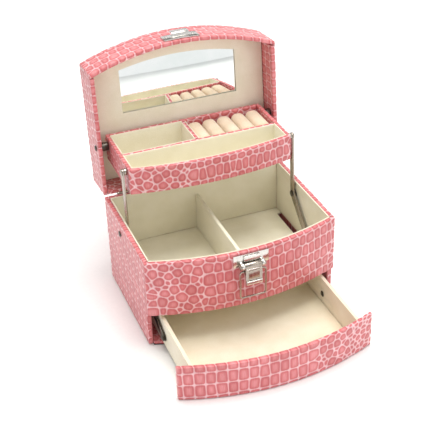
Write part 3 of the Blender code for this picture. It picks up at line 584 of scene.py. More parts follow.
@dataclass(frozen=True)
class Leatherette:
    """Polyurethane leather, embossed with scales and pale in the grooves.

    To the eye: satin coral tiles with a painted soft highlight on each, fine upright
    streaks of painted highlight over the print, and pale pink lines between the tiles.
    """

    name: str = "embossed_pu_leather"
    crack: str = "#F9D3D7"
    band: str = "#EBA4AA"
    edge: str = "#D4696D"
    heart: str = "#E99699"

    def material(self) -> bpy.types.Material:
        """Builds the material.

        Returns:
            The material.
        """
        material, tree, shader = new_material(self.name, roughness=0.34, ior=1.5)
        edge = add_node(tree, "Attribute", attribute_name="scale_edge").outputs["Fac"]
        tone = add_node(tree, "Attribute", attribute_name="scale_tone").outputs["Fac"]
        chart = add_node(tree, "UVMap", uv_map="hide").outputs["UV"]
        # A unit of the map is 100 mm: streaks 0.9 mm wide and 7 mm long.
        stretch = add_node(tree, "Mapping", {"Scale": (110.0, 14.0, 1.0)},
                           {"Vector": chart}).outputs["Vector"]
        streak = add_node(tree, "TexNoise", {"Scale": 1.0, "Detail": 3.0,
                          "Roughness": 0.6}, {"Vector": stretch}).outputs["Fac"]
        # From the crack, 4 mm in towards the heart of a scale.
        inward = add_node(tree, "MapRange", {1: 0.0, 2: 4.0}, {0: edge}).outputs[0]
        printed = add_node(tree, "ValToRGB", links={"Fac": inward}, stops=[
            (0.03, self.crack), (0.085, self.band), (0.15, "#DF858A"), (0.25, self.edge),
            (0.45, "#DE7B7F"), (0.85, self.heart)]).outputs["Color"]
        # Painted highlight: the upright streaks, mixed with each scale's own random tone,
        # lighten the print towards white.
        mix = add_node(tree, "Math", {1: 0.4}, {0: tone}, operation="MULTIPLY").outputs[0]
        blend = add_node(tree, "Math", {1: 0.9}, {0: streak, 2: mix},
                         operation="MULTIPLY_ADD").outputs[0]
        level = add_node(tree, "MapRange", {1: 0.35, 2: 0.95}, {0: blend}).outputs[0]
        tone_and_painted_highlight = add_node(tree, "ValToRGB", links={"Fac": level}, stops=[
            (0.0, "#E3CFCF"), (1.0, "#FFFFFF")]).outputs["Color"]
        colour = add_node(tree, "Mix", {0: 1.0}, {6: printed, 7: tone_and_painted_highlight},
                          data_type="RGBA", blend_type="MULTIPLY")
        tree.links.new(colour.outputs[2], shader.inputs["Base Color"])
        rough = add_node(tree, "MapRange", {3: 0.28, 4: 0.42}, {0: streak})
        tree.links.new(rough.outputs[0], shader.inputs["Roughness"])
        # Pores about 0.4 mm apart, drawn near the finest that shows.
        place = add_node(tree, "TexCoord").outputs["Object"]
        grain = add_node(tree, "TexNoise", {"Scale": 2400.0, "Detail": 2.0},
                         {"Vector": place}).outputs["Fac"]
        ribs = add_node(tree, "Math", {1: 0.6}, {0: streak, 2: grain},
                        operation="MULTIPLY_ADD").outputs[0]
        bump = add_node(tree, "Bump", {"Strength": 0.35, "Distance": 0.00012},
                        {"Height": ribs}).outputs["Normal"]
        tree.links.new(bump, shader.inputs["Normal"])
        shader.inputs["Coat Weight"].default_value = 0.2
        shader.inputs["Coat Roughness"].default_value = 0.22
        return material


@dataclass(frozen=True)
class FlockedPaper:
    """Flocked lining paper: short rayon fibres glued on, matt with a soft bloom."""

    name: str
    light: str
    dark: str
    sheen: float = 0.35

    def material(self) -> bpy.types.Material:
        """Builds the material.

        Returns:
            The material.
        """
        material, tree, shader = new_material(self.name, roughness=0.92, ior=1.46)
        place = add_node(tree, "TexCoord").outputs["Object"]
        # Fibre tufts are 0.1 mm apart, drawn at 0.6 mm so that they show.
        tuft = add_node(tree, "TexNoise", {"Scale": 1600.0, "Detail": 3.0,
                        "Roughness": 0.7}, {"Vector": place}).outputs["Fac"]
        # Brush marks and glue shadows, 15 mm across.
        cloud = add_node(tree, "TexNoise", {"Scale": 65.0, "Detail": 2.0},
                         {"Vector": place}).outputs["Fac"]
        both = add_node(tree, "Math", {1: 1.4}, {0: tuft, 2: cloud},
                        operation="MULTIPLY_ADD").outputs[0]
        spread = add_node(tree, "MapRange", {1: 0.8, 2: 1.6}, {0: both}).outputs[0]
        colour = add_node(tree, "ValToRGB", links={"Fac": spread}, stops=[
            (0.0, self.dark), (1.0, self.light)]).outputs["Color"]
        tree.links.new(colour, shader.inputs["Base Color"])
        bump = add_node(tree, "Bump", {"Strength": 0.5, "Distance": 0.00015},
                        {"Height": tuft}).outputs["Normal"]
        tree.links.new(bump, shader.inputs["Normal"])
        shader.inputs["Sheen Weight"].default_value = self.sheen
        shader.inputs["Sheen Roughness"].default_value = 0.5
        shader.inputs["Specular IOR Level"].default_value = 0.2
        return material


@dataclass(frozen=True)
class PlatedSteel:
    """Pressed steel, nickel plated and tumbled: bright, with faint rubbing marks."""

    name: str
    light: str
    dark: str
    roughness: tuple[float, float] = (0.1, 0.2)

    def material(self) -> bpy.types.Material:
        """Builds the material.

        Returns:
            The material.
        """
        material, tree, shader = new_material(self.name, roughness=0.2, metallic=1.0)
        place = add_node(tree, "TexCoord").outputs["Object"]
        # Rubbing marks 2 mm wide and 8 mm long, with finer ones in them.
        stretch = add_node(tree, "Mapping", {"Scale": (500.0, 120.0, 120.0)},
                           {"Vector": place}).outputs["Vector"]
        rub = add_node(tree, "TexNoise", {"Scale": 1.0, "Detail": 3.0},
                       {"Vector": stretch}).outputs["Fac"]
        colour = add_node(tree, "ValToRGB", links={"Fac": rub}, stops=[
            (0.3, self.dark), (0.65, self.light)]).outputs["Color"]
        tree.links.new(colour, shader.inputs["Base Color"])
        rough = add_node(tree, "MapRange", {1: 0.3, 2: 0.7, 3: self.roughness[0],
                         4: self.roughness[1]}, {0: rub}).outputs[0]
        tree.links.new(rough, shader.inputs["Roughness"])
        bump = add_node(tree, "Bump", {"Strength": 0.12, "Distance": 0.00004},
                        {"Height": rub}).outputs["Normal"]
        tree.links.new(bump, shader.inputs["Normal"])
        return material


@dataclass(frozen=True)
class SilveredGlass:
    """Float glass silvered behind: a clear reflection with a trace of green and dust."""

    name: str = "silvered_glass"

    def material(self) -> bpy.types.Material:
        """Builds the material.

        Returns:
            The material.
        """
        material, tree, shader = new_material(self.name, roughness=0.02, metallic=1.0)
        place = add_node(tree, "TexCoord").outputs["Object"]
        # Haze from wiping, in soft patches 20 mm across.
        haze = add_node(tree, "TexNoise", {"Scale": 50.0, "Detail": 4.0},
                        {"Vector": place}).outputs["Fac"]
        colour = add_node(tree, "ValToRGB", links={"Fac": haze}, stops=[
            (0.3, "#F1F7F5"), (0.7, "#FAFDFC")]).outputs["Color"]
        tree.links.new(colour, shader.inputs["Base Color"])
        rough = add_node(tree, "MapRange", {1: 0.3, 2: 0.8, 3: 0.015, 4: 0.05},
                         {0: haze}).outputs[0]
        tree.links.new(rough, shader.inputs["Roughness"])
        return material


@dataclass(frozen=True)
class PlainBoard:
    """Grey board or black base cloth: dull, with a fibre fleck."""

    name: str
    light: str
    dark: str
    spacing: float

    def material(self) -> bpy.types.Material:
        """Builds the material.

        Returns:
            The material.
        """
        material, tree, shader = new_material(self.name, roughness=0.9, ior=1.5)
        place = add_node(tree, "TexCoord").outputs["Object"]
        fleck = add_node(tree, "TexNoise", {"Scale": 1 / (self.spacing * MM),
                         "Detail": 4.0}, {"Vector": place}).outputs["Fac"]
        colour = add_node(tree, "ValToRGB", links={"Fac": fleck}, stops=[
            (0.3, self.dark), (0.7, self.light)]).outputs["Color"]
        tree.links.new(colour, shader.inputs["Base Color"])
        bump = add_node(tree, "Bump", {"Strength": 0.4, "Distance": 0.0001},
                        {"Height": fleck}).outputs["Normal"]
        tree.links.new(bump, shader.inputs["Normal"])
        return material


def new_material(name: str, roughness: float, ior: float = 1.5, metallic: float = 0.0
                 ) -> tuple[bpy.types.Material, bpy.types.NodeTree, bpy.types.Node]:
    """Makes an empty material with its shader.

    Args:
        name: The material's name.
        roughness: Its roughness.
        ior: Its index of refraction, where it isn't a metal.
        metallic: 1 for a metal.

    Returns:
        The material, its node tree and its shader.
    """
    material = bpy.data.materials.new(name)
    material.use_nodes = True
    tree = material.node_tree
    tree.nodes.clear()
    shader = add_node(tree, "BsdfPrincipled", {"Roughness": roughness,
                      "Metallic": metallic, "IOR": ior})
    add_node(tree, "OutputMaterial", links={"Surface": shader.outputs["BSDF"]})
    return material, tree, shader


class Finishes:
    """Every finish of the box, by the record's material slot."""

    def __init__(self) -> None:
        """Builds the materials."""
        # As it left the plating: bright, nearly white where it mirrors a light.
        steel = PlatedSteel("nickel_plated_steel", "#E2E0DC", "#CFCCC6")
        # Burnished rivets and links: dark grey with a dull shine.
        dark = PlatedSteel("darkened_steel", "#6E6962", "#4A4640", (0.3, 0.42))
        recipes = {
            "pink_embossed_leather": Leatherette(),
            "beige_lining": FlockedPaper("flocked_lining_paper", "#F7F2E0", "#EAE4CC"),
            "cream_velvet": FlockedPaper("ring_roll_velvet", "#F4E3CB", "#DDC7A8", 0.6),
            "nickel_plate": steel,
            "dark_steel": dark,
            "mirror_glass": SilveredGlass(),
            "backing_board": PlainBoard("grey_board", "#9A968C", "#7E7A71", 1.2),
            "black_base_cloth": PlainBoard("black_base_cloth", "#2A2927", "#161514", 0.8),
        }
        self.made = {slot: recipe.material() for slot, recipe in recipes.items()}
        # A darker copy of the plate, warmer, greyer and softer than the new: its colour is
        # painted reflection of the beige and brown round it.
        self.plate_with_painted_reflection = PlatedSteel("nickel_plate_with_painted_reflection", "#B5ABA1", "#A3998E",
                                (0.16, 0.26)).material()
        # The drawer's paper: a warmer cream than the lining above it.
        self.drawer = FlockedPaper("flocked_drawer_paper", "#F8F1DC",
                                   "#EBE1C6").material()

    def dress(self, obj: bpy.types.Object, slot: str, body: str,
              material: Optional[bpy.types.Material] = None) -> None:
        """Gives a new piece its finish, slot and body, and reports it.

        Args:
            obj: The piece.
            slot: The record's material slot.
            body: The CAD body that it rides on.
            material: A finish other than the slot's own.
        """
        obj.data.materials.clear()
        obj.data.materials.append(material or self.made[slot])
        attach(obj, body)
        LOG.info("%s: %d faces on %s in %s", obj.name, len(obj.data.polygons), body, slot)

    def wrap(self, board: WrappedBoard, node: str, body: str,
             turn: Optional[Matrix] = None) -> None:
        """Builds a wrapped board in the place of its CAD node and dresses it.

        Args:
            board: The board.
            node: The CAD node that it replaces.
            body: The CAD body that it rides on.
            turn: A last turn, in metres, such as the lid's opening.
        """
        obj = board.build()
        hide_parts(node)
        if turn is not None:
            obj.data.transform(turn)
            obj.data.update()
        self.dress(obj, "pink_embossed_leather", body)


# ---------------------------------------------------------------- parts of the box

@dataclass
class Case:
    """The case: bowed front, walls, floor, linings and divider."""

    finishes: Finishes
    half: float = 87.5
    front: float = -58.0
    bow: float = 17.3
    edge_rise: float = 0.55
    edge_gap: float = 0.25
    edge_deep: float = 1.3
    edge_wide: float = 1.25
    hide: Hide = field(init=False)

    def __post_init__(self) -> None:
        """Lays out the hide that wraps round the four walls."""
        half = self.half
        self.hide = Hide(11, (
            Zone(ScalePattern.BELLY, (-206, -4), (-half, 100), 8.8, (8.6, 9.8, 8.0), 0.02,
                 brick=1.0),
            Zone(ScalePattern.FLANK, (-half, 28), (-38, 100), 9.8),
            Zone(ScalePattern.BELLY, (-38, 32), (half, 100), 8.8,
                 (8.0, 9.6, 11.8, 12.4, 9.8), 0.03, 0.22, 0.35),
            Zone(ScalePattern.BELLY, (half, -4), (206, 100), 8.4, (9.4, 8.4, 9.8), -0.02,
                 brick=1.0),
            Zone(ScalePattern.FLANK, (206, -4), (392, 100), 9.4),
        ))

    def front_y(self, x: np.ndarray) -> np.ndarray:
        """Finds the bowed front's outer face at a width."""
        return self.front - self.bow * (1 - (x / self.half) ** 2)

    def build(self) -> None:
        """Builds and dresses every piece of the case."""
        low, high = corners("front_panel")
        self.finishes.wrap(WrappedBoard(
            "front_panel_hide", (low[0], low[2]), (high[0], high[2]), BOARD,
            lambda a, b, d: np.stack([a, self.front_y(a) + d, b], 1), self.hide,
            pitch=0.62, square=(LOW_INNER, HIGH_INNER)), "front_panel", "case")
        self._walls()
        self._board()
        for node, width in (("main_floor", 0.3), ("left_lining", 0.12),
                            ("right_lining", 0.12), ("back_lining", 0.12),
                            ("front_lining", 0.12), ("divider", 0.7)):
            piece = refine(node, node + "_skin", width)
            self.finishes.dress(piece, "beige_lining", "case")
        self._edging()
        base = refine("base_sheet", "base_cloth", 0.1)
        self.finishes.dress(base, "black_base_cloth", "case")

    def _walls(self) -> None:
        """Builds the two side walls and the back wall."""
        half = self.half
        for side, name in ((-1, "left"), (1, "right")):
            low, high = corners(name + "_wall")
            self.finishes.wrap(WrappedBoard(
                name + "_wall_hide", (BOARD_ENDS, low[2]), (high[1], high[2]), BOARD,
                lambda a, b, d, side=side: np.stack([side * (half - d), a, b], 1),
                self.hide, start=side * (half - self.front), reverse=side < 0,
                pitch=0.75, square=(LOW_OUTER, LOW_INNER)), name + "_wall", "case")
        low, high = corners("back_wall")
        self.finishes.wrap(WrappedBoard(
            "back_wall_hide", (-BACK_HALF, low[2]), (BACK_HALF, high[2]), BOARD,
            lambda a, b, d: np.stack([a, high[1] - d, b], 1), self.hide,
            start=WRAP + half, reverse=True, pitch=0.8, radius=0.7,
            square=(LOW_OUTER, HIGH_OUTER)), "back_wall", "case")

    def _edging(self) -> None:
        """Builds the lining's folded edge, which shows as a line inside the rim."""
        low, high = corners("left_lining")
        rim = high[2] + self.edge_rise
        inner, back = -low[0] + self.edge_gap, high[1] + self.edge_gap
        under, wide, behind = rim - self.edge_deep, self.edge_wide, BOARD + 0.05
        parts = [
            settle(block("edge", (-inner, under, behind), (inner, rim, behind + wide),
                         0.3, 2, 3.0),
                   lambda a, b, d: np.stack([a, self.front_y(a) + d, b], 1)),
            settle(block("edge", (-inner, back - wide, under), (inner, back, rim),
                         0.3, 2, COARSE), plain),
        ]
        for side in (-1, 1):
            near, far = sorted((side * inner, side * (inner - wide)))
            parts.append(settle(block("edge", (near, low[1], under), (far, back, rim),
                                      0.3, 2, COARSE), plain))
        self.finishes.dress(join("case_lining_edge", parts), "beige_lining", "case")

    def _board(self) -> None:
        """Builds the bottom board, which shows in the drawer's bay."""
        low, high = corners("bottom_board")
        deep = high[1] - low[1]
        self.finishes.wrap(WrappedBoard(
            "bottom_board_hide", (low[0], 0.0), (high[0], deep), high[2] - low[2],
            lambda a, b, d: np.stack([a, high[1] - b / deep * (
                high[1] - self.front_y(a) - 4.3), low[2] + d], 1),
            Hide(12, (Zone(ScalePattern.FLANK, (-95, -10), (95, 140), 10.0),)),
            rim=False, pitch=1.4, radius=0.6), "bottom_board", "case")


@dataclass
class Lid:
    """The lid: walls, top, liner panel and mirror, modelled shut and then opened."""

    finishes: Finishes
    case: Case
    opening: float = 94.7
    top: float = 124.5
    hide: Hide = field(init=False)
    turn: Matrix = field(init=False)

    def __post_init__(self) -> None:
        """Lays out the hide and finds the turn from shut to open."""
        joint = next(j for j in frame["joints"] if j["name"] == "lid_hinge")
        pivot = Vector(joint["pos_m"])
        self.turn = (Matrix.Translation(pivot)
                     @ Matrix.Rotation(math.radians(-self.opening), 4, "X")
                     @ Matrix.Translation(-pivot))
        half = self.case.half
        self.hide = Hide(21, (
            Zone(ScalePattern.BELLY, (-206, -4), (-half, 92), 8.6, (8.8, 9.6, 8.0), 0.01,
                 brick=1.0),
            Zone(ScalePattern.BELLY, (-half, -3), (half, 92), 8.4, (11.0, 9.8, 11.6), 0.01,
                 brick=0.5),
            Zone(ScalePattern.BELLY, (half, -4), (206, 92), 7.6, (10.2, 9.6), brick=0.6),
            Zone(ScalePattern.FLANK, (206, -4), (392, 92), 9.4),
        ))

    def build(self) -> None:
        """Builds and dresses every piece of the lid."""
        case, back = self.case, self.turn.inverted()
        low, high = corners("lid_front_wall", back)
        # On the lid's walls, up is down from the shut lid's top.
        self.finishes.wrap(WrappedBoard(
            "lid_front_hide", (-case.half, self.top - high[2]),
            (case.half, self.top - low[2]), BOARD,
            lambda a, b, d: np.stack([a, case.front_y(a) + d, self.top - b], 1),
            self.hide, pitch=0.62, square=(LOW_INNER, HIGH_INNER, UNDER_OUTER)),
            "lid_front_wall", "lid", self.turn)
        self._sides(back)
        self._top(back)
        panel = refine("lid_liner_panel", "lid_liner_skin", 0.3)
        self.finishes.dress(panel, "beige_lining", "lid")
        glass = refine("mirror", "mirror_glass_plate", 0.2)
        self.finishes.dress(glass, "mirror_glass", "lid")
        board = refine("mirror_backing", "mirror_backing_board", 0.2)
        self.finishes.dress(board, "backing_board", "lid")

    def _sides(self, back: Matrix) -> None:
        """Builds the lid's side and back walls.

        Args:
            back: The turn from the open lid to the shut one.
        """
        half = self.case.half
        for side, name in ((-1, "left"), (1, "right")):
            low, high = corners(f"lid_{name}_wall", back)
            self.finishes.wrap(WrappedBoard(
                f"lid_{name}_hide", (BOARD_ENDS, self.top - high[2]),
                (high[1], self.top - low[2]), BOARD,
                lambda a, b, d, side=side: np.stack(
                    [side * (half - d), a, self.top - b], 1),
                self.hide, start=side * (half - self.case.front), reverse=side < 0,
                pitch=0.68, square=(LOW_OUTER, LOW_INNER, UNDER_OUTER, LOW_UNDER)),
                f"lid_{name}_wall", "lid", self.turn)
        low, high = corners("lid_back_wall", back)
        self.finishes.wrap(WrappedBoard(
            "lid_back_hide", (-BACK_HALF, self.top - high[2]),
            (BACK_HALF, self.top - low[2]), BOARD,
            lambda a, b, d: np.stack([a, high[1] - d, self.top - b], 1), self.hide,
            start=WRAP + half, reverse=True, pitch=0.8, radius=0.7,
            square=(LOW_OUTER, HIGH_OUTER, UNDER_OUTER, LOW_UNDER, HIGH_UNDER)),
            "lid_back_wall", "lid", self.turn)

    def _top(self, back: Matrix) -> None:
        """Builds the lid's top board.

        Args:
            back: The turn from the open lid to the shut one.
        """
        low, high = corners("lid_top_board", back)
        deep = high[1] - low[1]
        hide = Hide(22, (
            Zone(ScalePattern.FLANK, (-98, -10), (-52, 150), 9.6),
            Zone(ScalePattern.BELLY, (-52, -10), (54, 150), 9.8, (10.6, 9.4, 11.4), 0.03,
                 brick=1.0),
            Zone(ScalePattern.FLANK, (54, -10), (98, 150), 9.0),
        ))
        self.finishes.wrap(WrappedBoard(
            "lid_top_hide", (low[0], 0.0), (high[0], deep), high[2] - low[2],
            lambda a, b, d: np.stack([a, high[1] - b / deep * (
                high[1] - self.case.front_y(a)), high[2] - d], 1),
            hide, rim=False, pitch=0.86), "lid_top_board", "lid", self.turn)


@dataclass
class Tray:
    """The lift-out tray with two lined wells and a well of ring rolls."""

    finishes: Finishes
    half: float = 76.1
    bow: float = 9.4
    skin: float = 0.8
    roll_room: tuple[float, float, float] = (0.5, 0.6, 0.6)
    roll_round: float = 5.4
    roll_reach: float = 0.5

    PRESSURE = 4.0
    FRAMES = 20

    def front_y(self, x: np.ndarray) -> np.ndarray:
        """Finds the bowed front's outer face at a width."""
        low, _ = corners("tray_front")
        return low[1] + self.bow * (x / self.half) ** 2

    def build(self) -> None:
        """Builds and dresses every piece of the tray."""
        half = self.half
        low, high = corners("tray_front")
        base, rim = low[2], high[2]
        back = corners("tray_back")[1][1]
        hide = Hide(31, (
            Zone(ScalePattern.BELLY, (-160, base - 4), (-half, rim + 30), 8.2, (9.2, 8.4),
                 brick=1.0),
            Zone(ScalePattern.FLANK, (-half, base - 2), (-22, rim + 30), 8.8),
            Zone(ScalePattern.BELLY, (-22, base - 1), (half, rim + 30), 7.4,
                 (6.4, 11.8, 6.4, 8.0), 0.01, 0.15, 0.4),
            Zone(ScalePattern.BELLY, (half, base - 4), (160, rim + 30), 7.6, (9.4, 8.6),
                 brick=0.6),
            Zone(ScalePattern.FLANK, (160, base - 4), (330, rim + 30), 8.6),
        ))
        self.finishes.wrap(WrappedBoard(
            "tray_front_hide", (-half, base), (half, rim), TRAY_BOARD,
            lambda a, b, d: np.stack([a, self.front_y(a) + d, b], 1), hide,
            pitch=0.6, radius=0.8, square=(LOW_INNER, HIGH_INNER)), "tray_front", "tray")
        for side, name in ((-1, "left"), (1, "right")):
            low, high = corners(f"tray_{name}_side")
            self.finishes.wrap(WrappedBoard(
                f"tray_{name}_hide", (low[1] - 0.3, base), (back, rim), TRAY_BOARD,
                lambda a, b, d, side=side: np.stack([side * (half - d), a, b], 1),
                hide, start=side * (half - low[1]), reverse=side < 0, pitch=0.66,
                radius=0.8, square=(LOW_OUTER, LOW_INNER)), f"tray_{name}_side", "tray")
        self.finishes.wrap(WrappedBoard(
            "tray_back_hide", (-TRAY_BACK_HALF, base), (TRAY_BACK_HALF, rim), TRAY_BOARD,
            lambda a, b, d: np.stack([a, back - d, b], 1), hide,
            start=TRAY_WRAP + half, reverse=True, pitch=0.68, radius=0.8,
            square=(LOW_OUTER, HIGH_OUTER)), "tray_back", "tray")
        self._dividers(hide)
        self._lining()
        self._rolls()

    def _dividers(self, hide: Hide) -> None:
        """Builds the wrapped dividers.

        Args:
            hide: The tray's hide.
        """
        low, high = corners("tray_long_divider")
        self.finishes.wrap(WrappedBoard(
            "tray_long_divider_hide", (low[0], low[2]), (high[0], high[2]),
            high[1] - low[1], lambda a, b, d: np.stack([a, low[1] + d, b], 1), hide,
            radius=0.7), "tray_long_divider", "tray")
        start, end = corners("tray_short_divider")
        self.finishes.wrap(WrappedBoard(
            "tray_short_divider_hide", (start[1], start[2]), (end[1], end[2]),
            end[0] - start[0], lambda a, b, d: np.stack([start[0] + d, a, b], 1), hide,
            radius=0.7), "tray_short_divider", "tray")

    def _lining(self) -> None:
        """Builds the thin lining of the front well and the rear left one."""
        skin, half = self.skin, self.half - TRAY_BOARD
        floor = corners("tray_bottom")[1][2]
        rim = corners("tray_front")[1][2] - 0.1
        long_low, long_high = corners("tray_long_divider")
        short_low, short_high = corners("tray_short_divider")
        corner = self.front_y(np.array([half]))[0] + TRAY_BOARD + 0.3
        back = corners("tray_back")[0][1]
        lower = long_high[2] - 0.05

        def sheet(low: Sequence[float], high: Sequence[float],
                  place: Place = plain) -> bpy.types.Object:
            """Models one thin sheet of lining."""
            return settle(block("sheet", low, high, 0.12, 2, 3.0), place)

        front = [
            sheet((-half, floor, TRAY_BOARD), (half, rim, TRAY_BOARD + skin),
                  lambda a, b, d: np.stack([a, self.front_y(a) + d, b], 1)),
            sheet((-half, corner, floor), (-half + skin, long_low[1], rim)),
            sheet((half - skin, corner, floor), (half, long_low[1], rim)),
            sheet((-half, long_low[1] - skin, floor), (half, long_low[1], lower)),
        ]
        rear = [
            sheet((-half, long_high[1], floor),
                  (short_low[0], long_high[1] + skin, lower)),
            sheet((-half, back - skin, floor), (short_low[0], back, rim)),
            sheet((-half, long_high[1], floor), (-half + skin, back, rim)),
            sheet((short_low[0] - skin, long_high[1], floor),
                  (short_low[0], back, lower)),
            sheet((short_high[0], long_high[1], floor),
                  (short_high[0] + skin, back, lower)),
        ]
        for name, parts in (("tray_front_well_lining", front),
                            ("tray_rear_well_lining", rear)):
            self.finishes.dress(join(name, parts), "beige_lining", "tray")
        floor_skin = refine("tray_bottom", "tray_bottom_skin", 0.2)
        self.finishes.dress(floor_skin, "beige_lining", "tray")

    def _rolls(self) -> None:
        """Builds one stuffed ring roll, swells it and copies it to all five places."""
        low, high = corners("ring_roll_1")
        bpy.ops.object.select_all(action="DESELECT")
        size = (high - low) - np.array(self.roll_room)
        first = block("ring_roll_pad_1", tuple(-size / 2), tuple(size / 2),
                      self.roll_round, 6, 1.3)
        write_points(first, read_points(first) * MM)
        self._swell(first, self.roll_reach * MM)
        apply_modifier(first, "SUBSURF", levels=1, render_levels=1)
        shape = read_points(first)
        for number in range(1, 6):
            node = f"ring_roll_{number}"
            start, end = corners(node)
            pad = first
            if number > 1:
                pad = bpy.data.objects.new(f"ring_roll_pad_{number}", first.data.copy())
                bpy.context.scene.collection.objects.link(pad)
            write_points(pad, shape + (start + end) / 2 * MM)
            select_only(pad)
            bpy.ops.object.shade_smooth()
            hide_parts(node)
            self.finishes.dress(pad, "cream_velvet", "tray")

    def _swell(self, obj: bpy.types.Object, reach: float) -> None:
        """Swells a closed piece by cloth simulation under pressure.

        Args:
            obj: The piece.
            reach: The furthest that a point may move.
        """
        before = read_points(obj)
        cloth = obj.modifiers.new("Swell", "CLOTH")
        cloth.settings.use_pressure = True
        cloth.settings.uniform_pressure_force = self.PRESSURE
        cloth.settings.effector_weights.gravity = 0.0
        cloth.point_cache.frame_start = 1
        cloth.point_cache.frame_end = self.FRAMES
        for number in range(1, self.FRAMES + 1):
            bpy.context.scene.frame_set(number)
        graph = bpy.context.evaluated_depsgraph_get()
        swollen = obj.evaluated_get(graph)
        flat = np.empty(len(before) * 3, np.float32)
        swollen.data.vertices.foreach_get("co", flat)
        step = flat.reshape(-1, 3) - before
        far = np.linalg.norm(step, axis=1, keepdims=True)
        step *= np.minimum(1.0, reach / np.maximum(far, 1e-9))
        obj.modifiers.remove(cloth)
        bpy.context.scene.frame_set(1)
        write_points(obj, before + step)


@dataclass
class Drawer:
    """The drawer: wrapped bowed front and a lined tray behind it."""

    finishes: Finishes
    case: Case

    def build(self) -> None:
        """Builds and dresses every piece of the drawer."""
        low, high = corners("drawer_front")
        case = self.case
        slide = low[1] - (case.front - case.bow)
        hide = Hide(41, (
            Zone(ScalePattern.BELLY, (-92, low[2] - 9), (24, 80), 8.6, (12.4, 12.0)),
            Zone(ScalePattern.FLANK, (24, low[2] - 2), (62, 80), 8.2),
            Zone(ScalePattern.PEBBLE, (62, low[2] - 2), (96, 80), 5.4),
        ))
        self.finishes.wrap(WrappedBoard(
            "drawer_front_hide", (low[0], low[2]), (high[0], high[2]), BOARD,
            lambda a, b, d: np.stack([a, case.front_y(a) + slide + d, b], 1), hide,
            pitch=0.6), "drawer_front", "drawer")
        for node in ("drawer_left_side", "drawer_right_side", "drawer_back",
                     "drawer_bottom"):
            piece = refine(node, node + "_skin", 0.4)
            self.finishes.dress(piece, "beige_lining", "drawer", self.finishes.drawer)
        for node in ("left_drawer_stud", "right_drawer_stud"):
            stud = refine(node, node + "_turned", 0.2)
            self.finishes.dress(stud, "dark_steel", "drawer")


@dataclass
class Linkage:
    """Arms, links, rivets and the rear hinge."""

    finishes: Finishes
    lid: Lid

    def build(self) -> None:
        """Builds and dresses the metalwork."""
        for side in ("left", "right"):
            for node, slot, body in (
                    (f"{side}_arm", "nickel_plate", f"{side}_arm"),
                    (f"{side}_arm_tray_rivet", "nickel_plate", f"{side}_arm"),
                    (f"{side}_arm_link_rivet", "nickel_plate", f"{side}_arm"),
                    (f"{side}_drawer_link", "dark_steel", f"{side}_link"),
                    (f"{side}_arm_pivot", "dark_steel", "case"),
                    (f"{side}_tray_pivot", "dark_steel", "lid")):
                piece = refine(node, node + "_finished", 0.18)
                # Plate pieces take the darker copy of the plate, whose colour is painted
                # reflection.
                plate_with_painted_reflection = self.finishes.plate_with_painted_reflection if slot == "nickel_plate" else None
                self.finishes.dress(piece, slot, body, plate_with_painted_reflection)
        for node, body in (("case_hinge_leaf", "case"), ("hinge_pin", "case"),
                           ("lid_hinge_leaf", "lid")):
            piece = refine(node, node + "_finished", 0.12)
            self.finishes.dress(piece, "nickel_plate", body, self.finishes.plate_with_painted_reflection)


